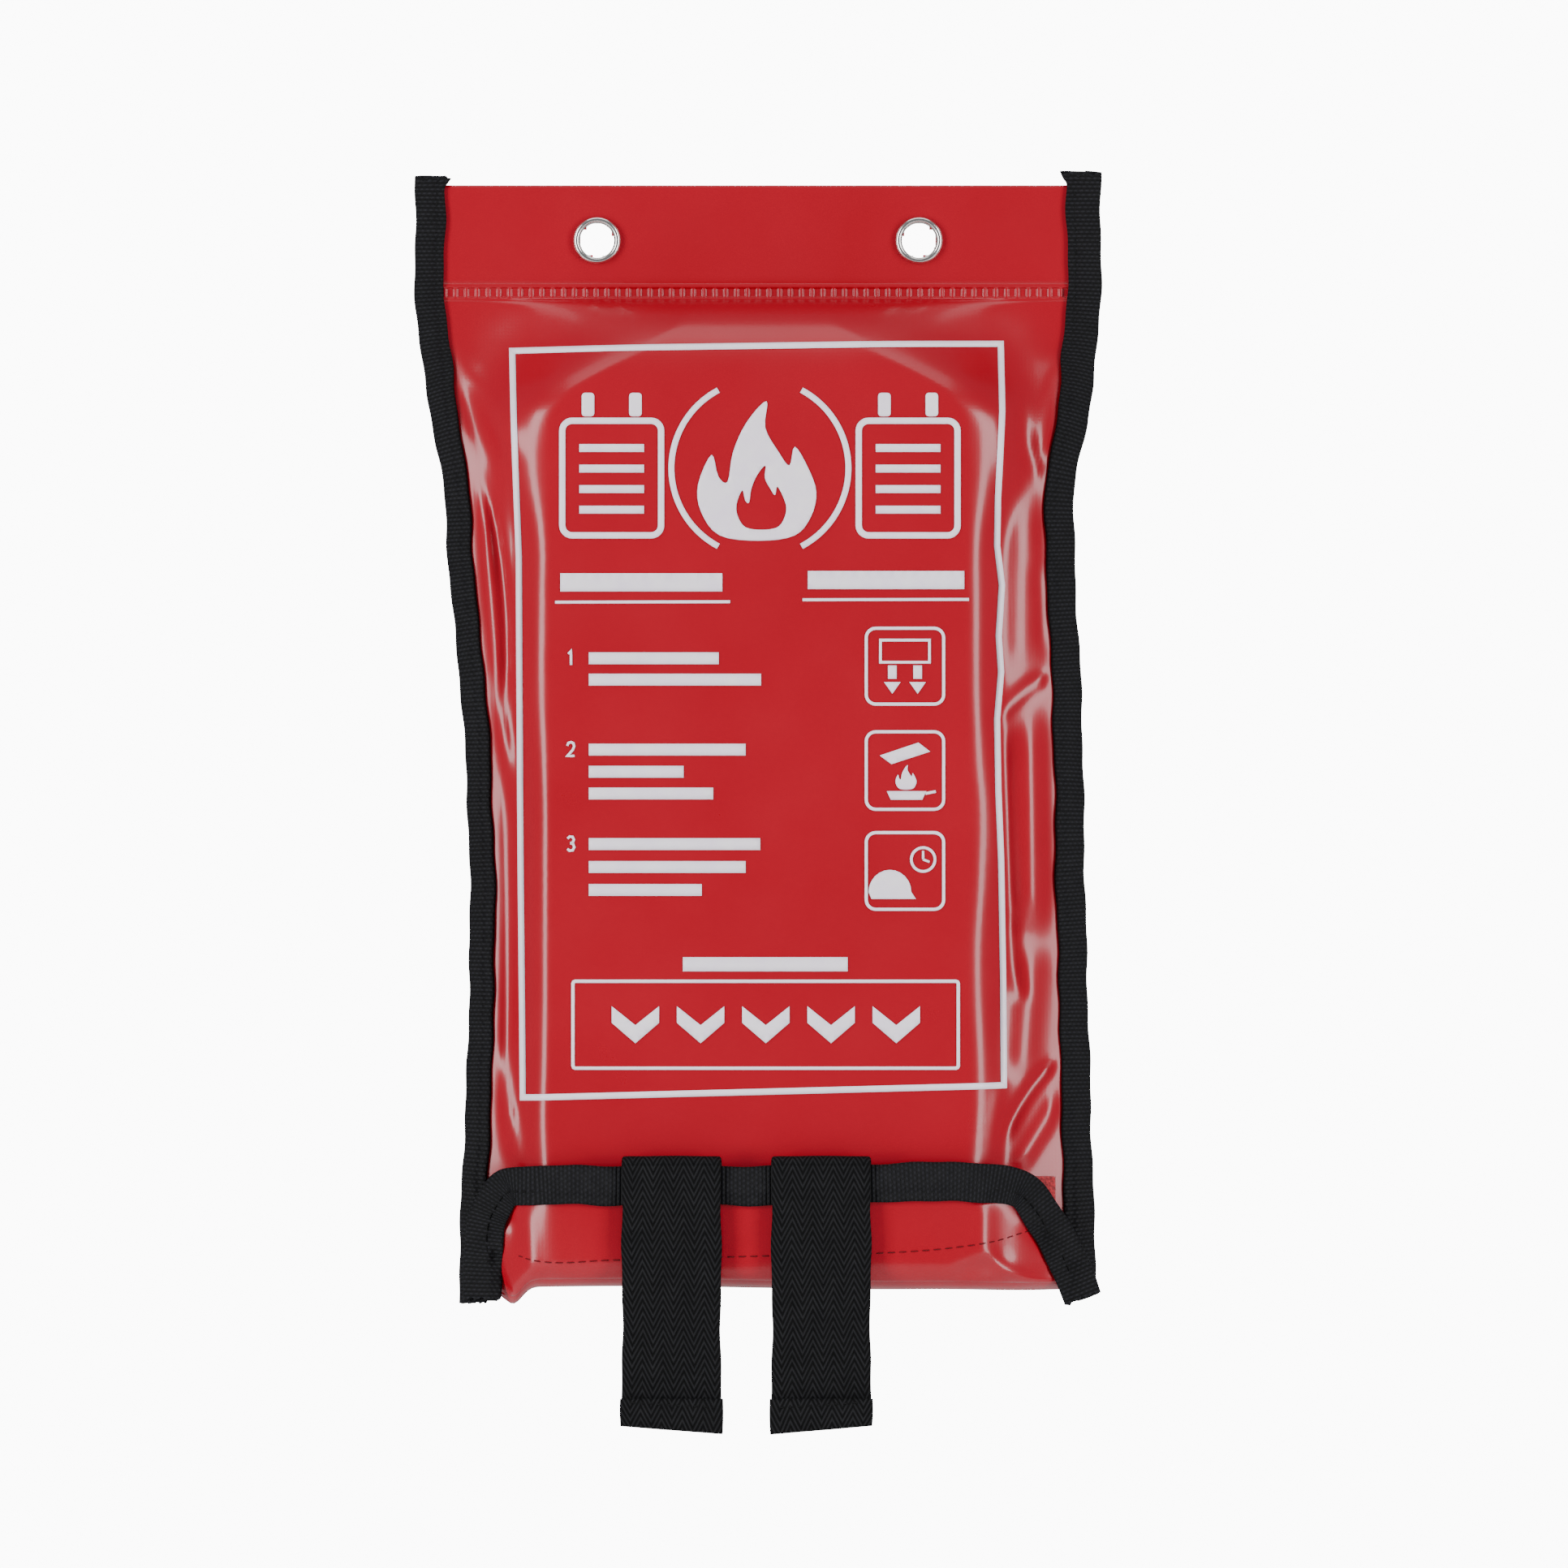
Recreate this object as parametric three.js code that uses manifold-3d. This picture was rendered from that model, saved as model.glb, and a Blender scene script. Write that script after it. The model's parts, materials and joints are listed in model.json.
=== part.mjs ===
// A wall-hung soft-case fire blanket: a red PVC pouch with black woven edge bindings, two eyelets to hang
// it by, a bottom flap held by hook and loop, and a folded glass-cloth blanket with two black pull tabs.
// Millimetres, +Z up, the pouch's front faces -Y. The origin is the middle of the flat back that lies on
// the wall. "Depth" is the distance in front of the wall, and heights are counted from the pouch's bottom
// fold.
import * as THREE from "three";
import { mergeVertices } from "three/addons/utils/BufferGeometryUtils.js";
import Module from "manifold-3d";

// ---- driving dimensions -------------------------------------------------------------------------------
const POUCH_HEIGHT = 280;
const HEADER_HEIGHT = 27; // flat welded strip at the top, which carries the eyelets
const HEADER_HALF_WIDTH = 87.5; // to the outer edge of the side bindings
const WAIST_HALF_WIDTH = 78; // the sides draw in where the pack pushes the sheets apart
const FOOT_HALF_WIDTH = 82;
const SHOULDER_LOW = 185; // the sides widen again above this height
const SHOULDER_LENGTH = 65;
const FOOT_LENGTH = 65; // the sides widen again below this height
const POCKET_DEPTH = 32; // wall to the front panel's face, over the pack
const FULL_DEPTH_HEIGHT = 125; // the pocket is at its full depth below this height
const HEADER_STANDOFF = 1.5; // the header stands clear of the wall by this, for the washers
const OPENING_LENGTH = 60; // height over which the pocket opens below the weld
const SEAM_SAG = 11.5; // the side seams float this far forward beside the pack
const SEAM_LEAN_WIDTH = 30; // the plane between the sheets leans forward this far in from the seams
const PLATEAU_HALF_WIDTH = 51; // the front panel is flat out to here, then falls away to the seams
const SHEET = 0.5; // PVC sheet
const GAP = 0.1; // between cloth layers that lie on each other
const SEAM_GAP = 0.35; // from each sheet to the plane between them
const BINDING_GAP = 0.55; // between a curved binding and what it holds

const TAPE = 0.7; // edge-binding tape
const BINDING_WIDTH = 9.5; // half of a 20 mm tape, folded over the edge
const THREAD = 0.35;
const THREAD_LIFT = 0.25; // thread stands this clear of the cloth it holds
const SIDE_STITCH_INSET = 7.5; // row of stitching, in from a side binding's outer edge
const FLAP_STITCH_INSET = 5.5;

const EYELET_HEIGHT = 266;
const EYELET_SPACING = 82;
const EYELET_BORE_RADIUS = 4.4;
const EYELET_FLANGE_RADIUS = 6;
const EYELET_WALL = 0.45;
const EYELET_CROWN = 1.1; // how far the rolled flange stands out
const EYELET_CLEARANCE = 0.4; // between the barrel and the cloth's punched hole
const WASHER_THICKNESS = 0.8;

const FLAP_HEIGHT = 33;
const FLAP_SHEET_HALF_WIDTH = 75;
const FLAP_CORNER = { start: 46, peak: 62, end: 70, low: 20 }; // where its edge curves down at both sides
const CLOSURE_TAPE = 1.0; // hook or loop tape
const CLOSURE_LOW = 8;
const LOOP_HIGH = 28;
const LOOP_HALF_WIDTH = 70;
const HOOK_HIGH = 22.2; // just under the flap's binding
const HOOK_HALF_WIDTH = 50;

const TAB_WIDTH = 25;
const TAB_THICKNESS = 0.9;
const TAB_CENTRES = { left: -21.8, right: 16 };
const TAB_END = -37; // lower end of the hanging tabs
const TAB_HEM = 8; // turned up and sewn at the end
const ANCHOR_HEIGHT = 38; // how far each tape runs up the back of the blanket
const ANCHOR_DEPTH = 1.1;
const ANCHOR_STITCH = { inset: 3, low: 15, high: 35 };
const HEM_STITCH = { inset: 1.5, low: TAB_END + 2, high: TAB_END + 6.5 };

const PACK_HALF_WIDTH = 58; // 1.2 m of cloth folded in ten
const PACK_BOTTOM = 4.2;
const PACK_TOP = 222;
const PACK_BACK = 2.4;
const PACK_LAYERS = 5;
const PACK_CLEARANCE = 1.6; // to the sheets, all the way down as it is pulled out

// ---- derived places -----------------------------------------------------------------------------------
const WELD_HEIGHT = POUCH_HEIGHT - HEADER_HEIGHT;
const HEADER_SEAM = HEADER_STANDOFF + SHEET + SEAM_GAP; // plane between the two sheets
const HEADER_FRONT = HEADER_SEAM + SEAM_GAP + SHEET;
const PANEL_FOOT = 6; // lower edge of the front panel
const PANEL_BACK_FOOT = 0.8; // lower edge of the back panel
const BINDING_FOLD = TAPE + BINDING_GAP; // cut edges stop this far inside a binding's outer edge
const WALL_FACE_CENTRE = 115;

// The layers in front of the front panel, as depths.
const LEG_BACK = POCKET_DEPTH + GAP + CLOSURE_TAPE + 0.5;
const HOOK_BACK = LEG_BACK + TAB_THICKNESS + 0.3;
const FLAP_BACK = HOOK_BACK + CLOSURE_TAPE + GAP;
const FLAP_FRONT = FLAP_BACK + SHEET;
const FLAP_BINDING_FRONT = FLAP_FRONT + BINDING_GAP + TAPE;
const TAIL_BACK = FLAP_BINDING_FRONT + THREAD_LIFT + THREAD + 0.2;
const TAIL_FRONT = TAIL_BACK + TAB_THICKNESS;

// The bottom of the pouch turns up into the flap round a quarter bend about this line.
const BEND = { depth: POCKET_DEPTH - 2, height: 6 };
const BEND_SPLIT = (48 * Math.PI) / 180; // up the bend to the line the flap and tabs turn about
const SPLIT_CLEARANCE = (4 * Math.PI) / 180;

// The tabs turn over the flap's edge about this line.
const TURN = { depth: (LEG_BACK + TAIL_FRONT) / 2, height: FLAP_HEIGHT + 0.4 };
const TURN_RADIUS = (TAIL_FRONT - LEG_BACK) / 2;
const LEG_TOP = TURN.height - 1.2;
const TAIL_TOP = TURN.height - 5.4;
const FLEX_CLEARANCE = 0.3; // between the rigid lengths of one tape

const wasm = await Module();
wasm.setup();

// ---- small maths --------------------------------------------------------------------------------------
const lerp = (a, b, t) => a + (b - a) * t;
const clamp01 = (t) => Math.min(1, Math.max(0, t));

function smooth(t) {
  const c = clamp01(t);
  return c ** 3 * (c * (c * 6 - 15) + 10);
}

// Grid lines packed towards both ends, where a sheet curves, from -1 to 1.
function spread(u) {
  const t = Math.abs(2 * u - 1);
  return Math.sign(2 * u - 1) * lerp(t, Math.sin((t * Math.PI) / 2), 0.75);
}

// ---- the pouch's shape --------------------------------------------------------------------------------
// Outer edge of the side bindings.
function halfWidth(z) {
  const shoulder = (HEADER_HALF_WIDTH - WAIST_HALF_WIDTH) * smooth((z - SHOULDER_LOW) / SHOULDER_LENGTH);
  const foot = (FOOT_HALF_WIDTH - WAIST_HALF_WIDTH) * clamp01((FOOT_LENGTH - z) / FOOT_LENGTH) ** 2;
  return WAIST_HALF_WIDTH + shoulder + foot;
}

// How far the pocket has opened between the weld and the pack, 0 to 1.
const opened = (z) => smooth((WELD_HEIGHT + 2 - z) / OPENING_LENGTH);

// The plane between the sheets at the side seams, which leans forward towards the pack.
function seamDepth(x, z) {
  const sag = SEAM_SAG * opened(z) * smooth((z + 25) / 85);
  const lean = opened(z) * lerp(0.3, 0.5, smooth(z / 60));
  return HEADER_SEAM + sag + lean * Math.min(SEAM_LEAN_WIDTH, Math.max(0, halfWidth(z) - Math.abs(x)));
}

// 0 at the side seam, 1 over the pack's flat middle.
function overPack(x, z, flatHalfWidth) {
  const from = halfWidth(z) - BINDING_WIDTH - 2;
  return smooth((from - Math.abs(x)) / (from - flatHalfWidth));
}

// Inner face of the front sheet: a pillow that rises steeply below the weld.
function frontDepth(x, z) {
  const seam = seamDepth(x, z) + SEAM_GAP;
  const rise = clamp01((z - FULL_DEPTH_HEIGHT) / (WELD_HEIGHT - 1 - FULL_DEPTH_HEIGHT));
  const pillow = lerp(HEADER_SEAM + SEAM_GAP, POCKET_DEPTH - SHEET, Math.sqrt(1 - rise ** 4));
  return lerp(Math.min(seam, pillow), pillow, overPack(x, z, PLATEAU_HALF_WIDTH));
}

const panelFace = (x, z) => frontDepth(x, z) + SHEET;

// Outer face of the back sheet: flat on the wall behind the pack, drawn forward to the seams and the
// header.
function backDepth(x, z) {
  const onWall = overPack(x, z, PLATEAU_HALF_WIDTH - 3) * smooth((WELD_HEIGHT - 2 - z) / 22);
  return lerp(seamDepth(x, z) - SEAM_GAP - SHEET, 0, onWall);
}

const backInner = (x, z) => backDepth(x, z) + SHEET;

// The tightest depth the pack has to pass at this x on its way down from a height.
function tightest(pick, depthAt, x, z) {
  const depths = [];
  for (let k = 0; k <= 16; k++) depths.push(depthAt(x, lerp(PANEL_FOOT, Math.max(z, PANEL_FOOT), k / 16)));
  return pick(...depths);
}

// ---- solid builders -----------------------------------------------------------------------------------
function geometryOf(vertices, triangles) {
  const geometry = new THREE.BufferGeometry();
  geometry.setAttribute("position", new THREE.Float32BufferAttribute(vertices.flat(), 3));
  geometry.setIndex(triangles.flat());
  return geometry;
}

// A sheet between a back and a front face, each a point at (u, v), with u to the right and v upwards.
function sheet(columns, rows, back, front) {
  const vertices = [];
  const triangles = [];
  for (const face of [back, front])
    for (let j = 0; j <= rows; j++)
      for (let i = 0; i <= columns; i++) vertices.push(face(i / columns, j / rows));
  const at = (side, i, j) => (side * (rows + 1) + j) * (columns + 1) + i;
  const quad = (a, b, c, d) => triangles.push([a, b, c], [a, c, d]);
  for (let j = 0; j < rows; j++)
    for (let i = 0; i < columns; i++) {
      quad(at(1, i, j), at(1, i + 1, j), at(1, i + 1, j + 1), at(1, i, j + 1));
      quad(at(0, i, j), at(0, i, j + 1), at(0, i + 1, j + 1), at(0, i + 1, j));
    }
  for (let i = 0; i < columns; i++) {
    quad(at(0, i, 0), at(0, i + 1, 0), at(1, i + 1, 0), at(1, i, 0));
    quad(at(1, i, rows), at(1, i + 1, rows), at(0, i + 1, rows), at(0, i, rows));
  }
  for (let j = 0; j < rows; j++) {
    quad(at(0, 0, j), at(1, 0, j), at(1, 0, j + 1), at(0, 0, j + 1));
    quad(at(1, columns, j), at(0, columns, j), at(0, columns, j + 1), at(1, columns, j + 1));
  }
  return geometryOf(vertices, triangles);
}

// A closed section of [a, b] pairs carried along a path, where place(t, a, b) gives the point at t from 0
// to 1.
function carried(steps, section, place) {
  const outline = section.map(([a, b]) => new THREE.Vector2(a, b));
  if (THREE.ShapeUtils.isClockWise(outline)) outline.reverse();
  const count = outline.length;
  const vertices = [];
  const triangles = [];
  for (let k = 0; k <= steps; k++) for (const { x, y } of outline) vertices.push(place(k / steps, x, y));
  for (let k = 0; k < steps; k++)
    for (let i = 0; i < count; i++) {
      const p = k * count + i;
      const q = k * count + ((i + 1) % count);
      triangles.push([p, q, q + count], [p, q + count, p + count]);
    }
  const last = steps * count;
  for (const [a, b, c] of THREE.ShapeUtils.triangulateShape(outline, []))
    triangles.push([a, c, b], [last + a, last + b, last + c]);
  return facingOut(geometryOf(vertices, triangles));
}

function facingOut(geometry) {
  const position = geometry.getAttribute("position");
  const index = Array.from(geometry.getIndex().array);
  const corner = (k) => new THREE.Vector3().fromBufferAttribute(position, index[k]);
  let volume = 0;
  for (let k = 0; k < index.length; k += 3) volume += corner(k).dot(corner(k + 1).cross(corner(k + 2)));
  if (volume < 0) geometry.setIndex(index.reverse());
  return geometry;
}

function merged(geometry) {
  const bare = geometry.clone();
  bare.deleteAttribute("normal");
  bare.deleteAttribute("uv");
  return mergeVertices(bare, 1e-4);
}

function toSolid(geometry) {
  const closed = merged(geometry);
  const vertProperties = closed.getAttribute("position").array;
  const triVerts = new Uint32Array(closed.getIndex().array);
  return new wasm.Manifold(new wasm.Mesh({ numProp: 3, vertProperties, triVerts }));
}

function fromSolid(solid) {
  const mesh = solid.getMesh();
  const geometry = new THREE.BufferGeometry();
  geometry.setAttribute("position", new THREE.BufferAttribute(mesh.vertProperties, 3));
  geometry.setIndex(new THREE.BufferAttribute(mesh.triVerts, 1));
  return geometry;
}

// A side profile of [depth, height] pairs, made as wide as x0 to x1.
const profile = (x0, x1, points) =>
  carried(1, points, (t, depth, height) => [lerp(x0, x1, t), -depth, height]);

// Points on an arc about a centre line. Angle 0 is straight down, and a quarter turn is straight ahead.
function arc(centre, radius, from, to, steps) {
  const points = [];
  for (let k = 0; k <= steps; k++) {
    const angle = lerp(from, to, k / steps);
    points.push([centre.depth + radius * Math.sin(angle), centre.height - radius * Math.cos(angle)]);
  }
  return points;
}

// ---- materials ----------------------------------------------------------------------------------------
const finish = (color, roughness, metalness = 0) =>
  new THREE.MeshStandardMaterial({ color, roughness, metalness });
const pvc = finish(0xc4202b, 0.3);
const tape = finish(0x1a1a1c, 0.85);
const closure = finish(0xb41823, 0.9);
const blackThread = finish(0x101012, 0.7);
const redThread = finish(0x8e0f18, 0.7);
const nickel = finish(0xd8d6d0, 0.2, 1);
const glassCloth = finish(0xe8e4d8, 0.8);

const part = new THREE.Group();
const pouch = new THREE.Group();
pouch.position.z = -WALL_FACE_CENTRE;
part.add(pouch);

function add(name, geometry, material) {
  const mesh = new THREE.Mesh(geometry, material);
  mesh.name = name;
  pouch.add(mesh);
}

// ---- pouch sheets -------------------------------------------------------------------------------------
// Rows from a sheet's foot to the weld, closer together towards the weld, and two more over the header.
function panel(columns, rows, low, backFace, frontFace) {
  const weldAt = 1 - 2 / rows;
  const heightAt = (v) => {
    if (v > weldAt) return lerp(WELD_HEIGHT, POUCH_HEIGHT, (v - weldAt) / (1 - weldAt));
    const t = v / weldAt;
    return lerp(low, WELD_HEIGHT, lerp(t, Math.sin((t * Math.PI) / 2), 0.8));
  };
  const place = (face) => (u, v) => {
    const z = heightAt(v);
    const x = spread(u) * (halfWidth(z) - BINDING_FOLD);
    return [x, -face(x, z), z];
  };
  return sheet(columns, rows, place(backFace), place(frontFace));
}

function withEyeletHoles(geometry) {
  const radius = EYELET_BORE_RADIUS + EYELET_WALL + EYELET_CLEARANCE;
  let solid = toSolid(geometry);
  for (const side of [-1, 1]) {
    const punch = new THREE.CylinderGeometry(radius, radius, 20, 24);
    punch.translate((side * EYELET_SPACING) / 2, 0, EYELET_HEIGHT);
    solid = solid.subtract(toSolid(punch));
  }
  return fromSolid(solid);
}

// The back sheet's lower length, turned forward under the pack to the start of the flap.
function gusset() {
  const outer = FLAP_FRONT - BEND.depth;
  const inner = FLAP_BACK - BEND.depth;
  const end = BEND_SPLIT - SPLIT_CLEARANCE;
  return profile(-FLAP_SHEET_HALF_WIDTH, FLAP_SHEET_HALF_WIDTH, [
    [0, BEND.height - outer],
    ...arc(BEND, outer, 0, end, 6),
    ...arc(BEND, inner, end, 0, 6),
    [0, BEND.height - inner],
  ]);
}

add("back_panel", withEyeletHoles(panel(20, 28, PANEL_BACK_FOOT, backDepth, backInner)), pvc);
add("front_panel", withEyeletHoles(panel(20, 28, PANEL_FOOT, frontDepth, panelFace)), pvc);
add("bottom_gusset", gusset(), pvc);

// ---- edge bindings ------------------------------------------------------------------------------------
// A folded tape's section. The first value runs in from the outer edge, the second forward from the middle
// plane.
function foldedTape(held) {
  const inner = held / 2 + BINDING_GAP;
  const outer = inner + TAPE;
  const corner = 0.4;
  return [
    [BINDING_WIDTH, inner],
    [BINDING_WIDTH, outer],
    [corner, outer],
    [0, outer - corner],
    [0, corner - outer],
    [corner, -outer],
    [BINDING_WIDTH, -outer],
    [BINDING_WIDTH, -inner],
    [TAPE, -inner],
    [TAPE, inner],
  ];
}

// A thread's section, lying on a leaf of folded tape at a distance in from the outer edge.
function threadOn(held, inset) {
  const face = held / 2 + BINDING_GAP + TAPE + THREAD_LIFT;
  return [
    [inset - THREAD / 2, face],
    [inset + THREAD / 2, face],
    [inset + THREAD / 2, face + THREAD],
    [inset - THREAD / 2, face + THREAD],
  ];
}

const BINDING_LOW = 0.8;
const BINDING_HIGH = POUCH_HEIGHT + 2;
const PAIR_OF_SHEETS = 2 * (SHEET + SEAM_GAP);

function alongSide(side, section) {
  return carried(28, section, (t, across, through) => {
    const z = lerp(BINDING_LOW, BINDING_HIGH, t);
    const x = side * (halfWidth(z) - across);
    return [x, -(seamDepth(x, z) + through), z];
  });
}

for (const [name, side] of [["left", -1], ["right", 1]]) {
  const binding = alongSide(side, foldedTape(PAIR_OF_SHEETS));
  const stitching = alongSide(side, threadOn(PAIR_OF_SHEETS, SIDE_STITCH_INSET));
  add(`${name}_side_binding`, binding, tape);
  add(`${name}_side_stitching`, stitching, blackThread);
}

// ---- bottom flap --------------------------------------------------------------------------------------
// The flap's outer edge, from the bottom right-hand corner over the top to the bottom left.
const flapEdge = new THREE.Path();
flapEdge.moveTo(FOOT_HALF_WIDTH, 1);
flapEdge.lineTo(FLAP_CORNER.end, FLAP_CORNER.low);
flapEdge.quadraticCurveTo(FLAP_CORNER.peak, FLAP_HEIGHT, FLAP_CORNER.start, FLAP_HEIGHT);
flapEdge.lineTo(-FLAP_CORNER.start, FLAP_HEIGHT);
flapEdge.quadraticCurveTo(-FLAP_CORNER.peak, FLAP_HEIGHT, -FLAP_CORNER.end, FLAP_CORNER.low);
flapEdge.lineTo(-FOOT_HALF_WIDTH, 1);

// A point a distance inside the flap's edge, at a share of the edge's length.
function insideEdge(at, across) {
  const point = flapEdge.getPointAt(at);
  const tangent = flapEdge.getTangentAt(at);
  return new THREE.Vector2(point.x - tangent.y * across, point.y + tangent.x * across);
}

// Height of the flap sheet's cut edge at a place on its width.
function flapTop(x) {
  let [low, high] = [0, 0.5];
  for (let k = 0; k < 30; k++) {
    const middle = (low + high) / 2;
    if (insideEdge(middle, BINDING_FOLD + 0.3).x > Math.abs(x)) low = middle;
    else high = middle;
  }
  return insideEdge(low, BINDING_FOLD + 0.3).y;
}

// The flap's sheet: the upper half of the bend, then straight up to the edge.
function flapSheet(columns, rows) {
  const bendShare = 0.35;
  const face = (depth) => (u, v) => {
    const x = spread(u) * FLAP_SHEET_HALF_WIDTH;
    const radius = depth - BEND.depth;
    if (v < bendShare) {
      const angle = lerp(BEND_SPLIT + SPLIT_CLEARANCE, Math.PI / 2, v / bendShare);
      return [x, -(BEND.depth + radius * Math.sin(angle)), BEND.height - radius * Math.cos(angle)];
    }
    return [x, -depth, lerp(BEND.height, flapTop(x), (v - bendShare) / (1 - bendShare))];
  };
  return sheet(columns, rows, face(FLAP_BACK), face(FLAP_FRONT));
}

function alongFlapEdge(section) {
  const cutOff = 0.045; // share of the edge left bare at each corner
  const radius = (FLAP_BACK + FLAP_FRONT) / 2 - BEND.depth;
  return carried(40, section, (t, across, through) => {
    const point = insideEdge(lerp(cutOff, 1 - cutOff, (1 + spread(t)) / 2), across);
    const belowBend = Math.max(0, BEND.height - point.y);
    return [point.x, -(BEND.depth + Math.sqrt(radius ** 2 - belowBend ** 2) + through), point.y];
  });
}

// A straight row of stitching across the flap.
function stitchRow(halfLength, height, depth) {
  const row = new THREE.BoxGeometry(2 * halfLength, THREAD, THREAD);
  return row.translate(0, -(depth + THREAD_LIFT + THREAD / 2), height);
}

add("bottom_flap", flapSheet(22, 9), pvc);
add("flap_binding", alongFlapEdge(foldedTape(SHEET)), tape);
add("flap_binding_stitching", alongFlapEdge(threadOn(SHEET, FLAP_STITCH_INSET)), blackThread);

// ---- hook and loop closure ----------------------------------------------------------------------------
// The loop tape lies on the front panel, and falls back with it at both ends, where it is stiffer than the
// sheet.
function loopTape() {
  const lift = 1.5;
  const place = (offset) => (u, v) => {
    const x = spread(u) * LOOP_HALF_WIDTH;
    const z = lerp(CLOSURE_LOW, LOOP_HIGH, v);
    const raised = lift * smooth((Math.abs(x) - PLATEAU_HALF_WIDTH + 2) / 5);
    return [x, -(panelFace(x, z) + offset + raised), z];
  };
  return sheet(28, 3, place(GAP), place(GAP + CLOSURE_TAPE));
}

function hookTape() {
  const height = HOOK_HIGH - CLOSURE_LOW;
  const strip = new THREE.BoxGeometry(2 * HOOK_HALF_WIDTH, CLOSURE_TAPE, height);
  return strip.translate(0, -(HOOK_BACK + CLOSURE_TAPE / 2), CLOSURE_LOW + height / 2);
}

add("loop_tape", loopTape(), closure);
add("hook_tape", hookTape(), closure);
add("hook_tape_stitching", stitchRow(HOOK_HALF_WIDTH + 2, CLOSURE_LOW + 1, FLAP_FRONT), redThread);

// ---- eyelets ------------------------------------------------------------------------------------------
// A closed section of [radius, depth] pairs, turned about the hole's axis.
function turned(section, x) {
  const points = [...section, section[0]].map(([radius, depth]) => new THREE.Vector2(radius, -depth));
  const lathe = facingOut(merged(new THREE.LatheGeometry(points, 24)));
  return lathe.translate(x, 0, EYELET_HEIGHT);
}

// A barrel with a rolled flange in front, its tail curled outwards over the washer.
function eyelet(x) {
  const face = HEADER_FRONT + GAP;
  const tail = HEADER_STANDOFF - GAP - WASHER_THICKNESS - 0.1;
  const outer = EYELET_BORE_RADIUS + EYELET_WALL;
  const rollMiddle = (EYELET_FLANGE_RADIUS + EYELET_BORE_RADIUS) / 2;
  const roll = EYELET_FLANGE_RADIUS - rollMiddle;
  const section = [];
  for (let k = 0; k <= 6; k++) {
    const angle = (k / 6) * Math.PI;
    section.push([rollMiddle + roll * Math.cos(angle), face + EYELET_CROWN * Math.sin(angle)]);
  }
  section.push([EYELET_BORE_RADIUS, tail - 0.2]);
  section.push([EYELET_BORE_RADIUS + 0.3, tail - 0.45]);
  section.push([outer + 0.7, tail - 0.45]);
  section.push([outer + 0.9, tail - 0.1]);
  section.push([outer + 0.6, tail]);
  section.push([outer, tail]);
  section.push([outer, face]);
  return turned(section, x);
}

function washer(x) {
  const inner = EYELET_BORE_RADIUS + EYELET_WALL + 0.3;
  const outer = EYELET_FLANGE_RADIUS + 0.3;
  const front = HEADER_STANDOFF - GAP;
  const section = [
    [inner, front],
    [outer, front],
    [outer, front - WASHER_THICKNESS / 2],
    [outer - 0.4, front - WASHER_THICKNESS],
    [inner, front - WASHER_THICKNESS],
  ];
  return turned(section, x);
}

for (const [name, side] of [["left", -1], ["right", 1]]) {
  const x = (side * EYELET_SPACING) / 2;
  add(`${name}_eyelet`, eyelet(x), nickel);
  add(`${name}_eyelet_washer`, washer(x), nickel);
}

// ---- folded blanket -----------------------------------------------------------------------------------
// The cloth zigzags from back to front. Each layer here is a bundle of the real folds. The section's first
// value is across the pouch and its second runs from 0 at the pack's back to 1 at its front.
function zigzag() {
  const gap = 0.07;
  const layer = (1 - gap * (PACK_LAYERS - 1)) / PACK_LAYERS;
  const turnWidth = 4;
  const half = PACK_HALF_WIDTH;
  const columns = [-half, 4 - half, 10 - half, -half / 2, half / 2, half - 10, half - 4, half];
  const inset = columns.map((x) => Math.sign(x) * Math.min(Math.abs(x), PACK_HALF_WIDTH - turnWidth));
  const run = (from, level) => from.map((x) => [x, level]);
  const low = (k) => k * (layer + gap);
  const joinedLeft = columns.map((x, i) => (x < 0 ? inset[i] : x));
  const joinedRight = columns.map((x, i) => (x > 0 ? inset[i] : x));
  const section = run(columns, 0);
  for (let k = 1; k < PACK_LAYERS; k += 2) {
    section.push(...run([...joinedLeft].reverse(), low(k) + layer));
    section.push(...run(joinedLeft, low(k + 1)));
  }
  section.push(...run([...columns].reverse(), 1));
  for (let k = PACK_LAYERS - 2; k > 0; k -= 2) {
    section.push(...run(joinedRight, low(k)));
    section.push(...run([...joinedRight].reverse(), low(k - 1) + layer));
  }
  return section.filter(([x, w], i) => i === 0 || x !== section[i - 1][0] || w !== section[i - 1][1]);
}

function foldedBlanket() {
  return carried(16, zigzag(), (t, x, level) => {
    const z = lerp(PACK_BOTTOM, PACK_TOP, t);
    const atSides = 3 * (1 - smooth((PACK_HALF_WIDTH - Math.abs(x)) / 6));
    const atEnds = 2 * (1 - smooth(16 * Math.min(t, 1 - t)));
    const rounding = atSides + atEnds;
    const back = Math.max(PACK_BACK, tightest(Math.max, backInner, x, z) + PACK_CLEARANCE) + rounding;
    const front = tightest(Math.min, frontDepth, x, z) - PACK_CLEARANCE - rounding;
    return [x, -lerp(back, Math.max(front, back + 2), level), z];
  });
}

add("folded_blanket", foldedBlanket(), glassCloth);

// ---- pull tabs ----------------------------------------------------------------------------------------
// Each tab is one tape: sewn to the back of the blanket, forward under it, up inside the flap, over the
// flap's edge and down to a sewn hem. It is parted where it bends, so that each length can be moved.
const LEG_RADII = { inner: LEG_BACK - BEND.depth, outer: LEG_BACK + TAB_THICKNESS - BEND.depth };

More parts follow.
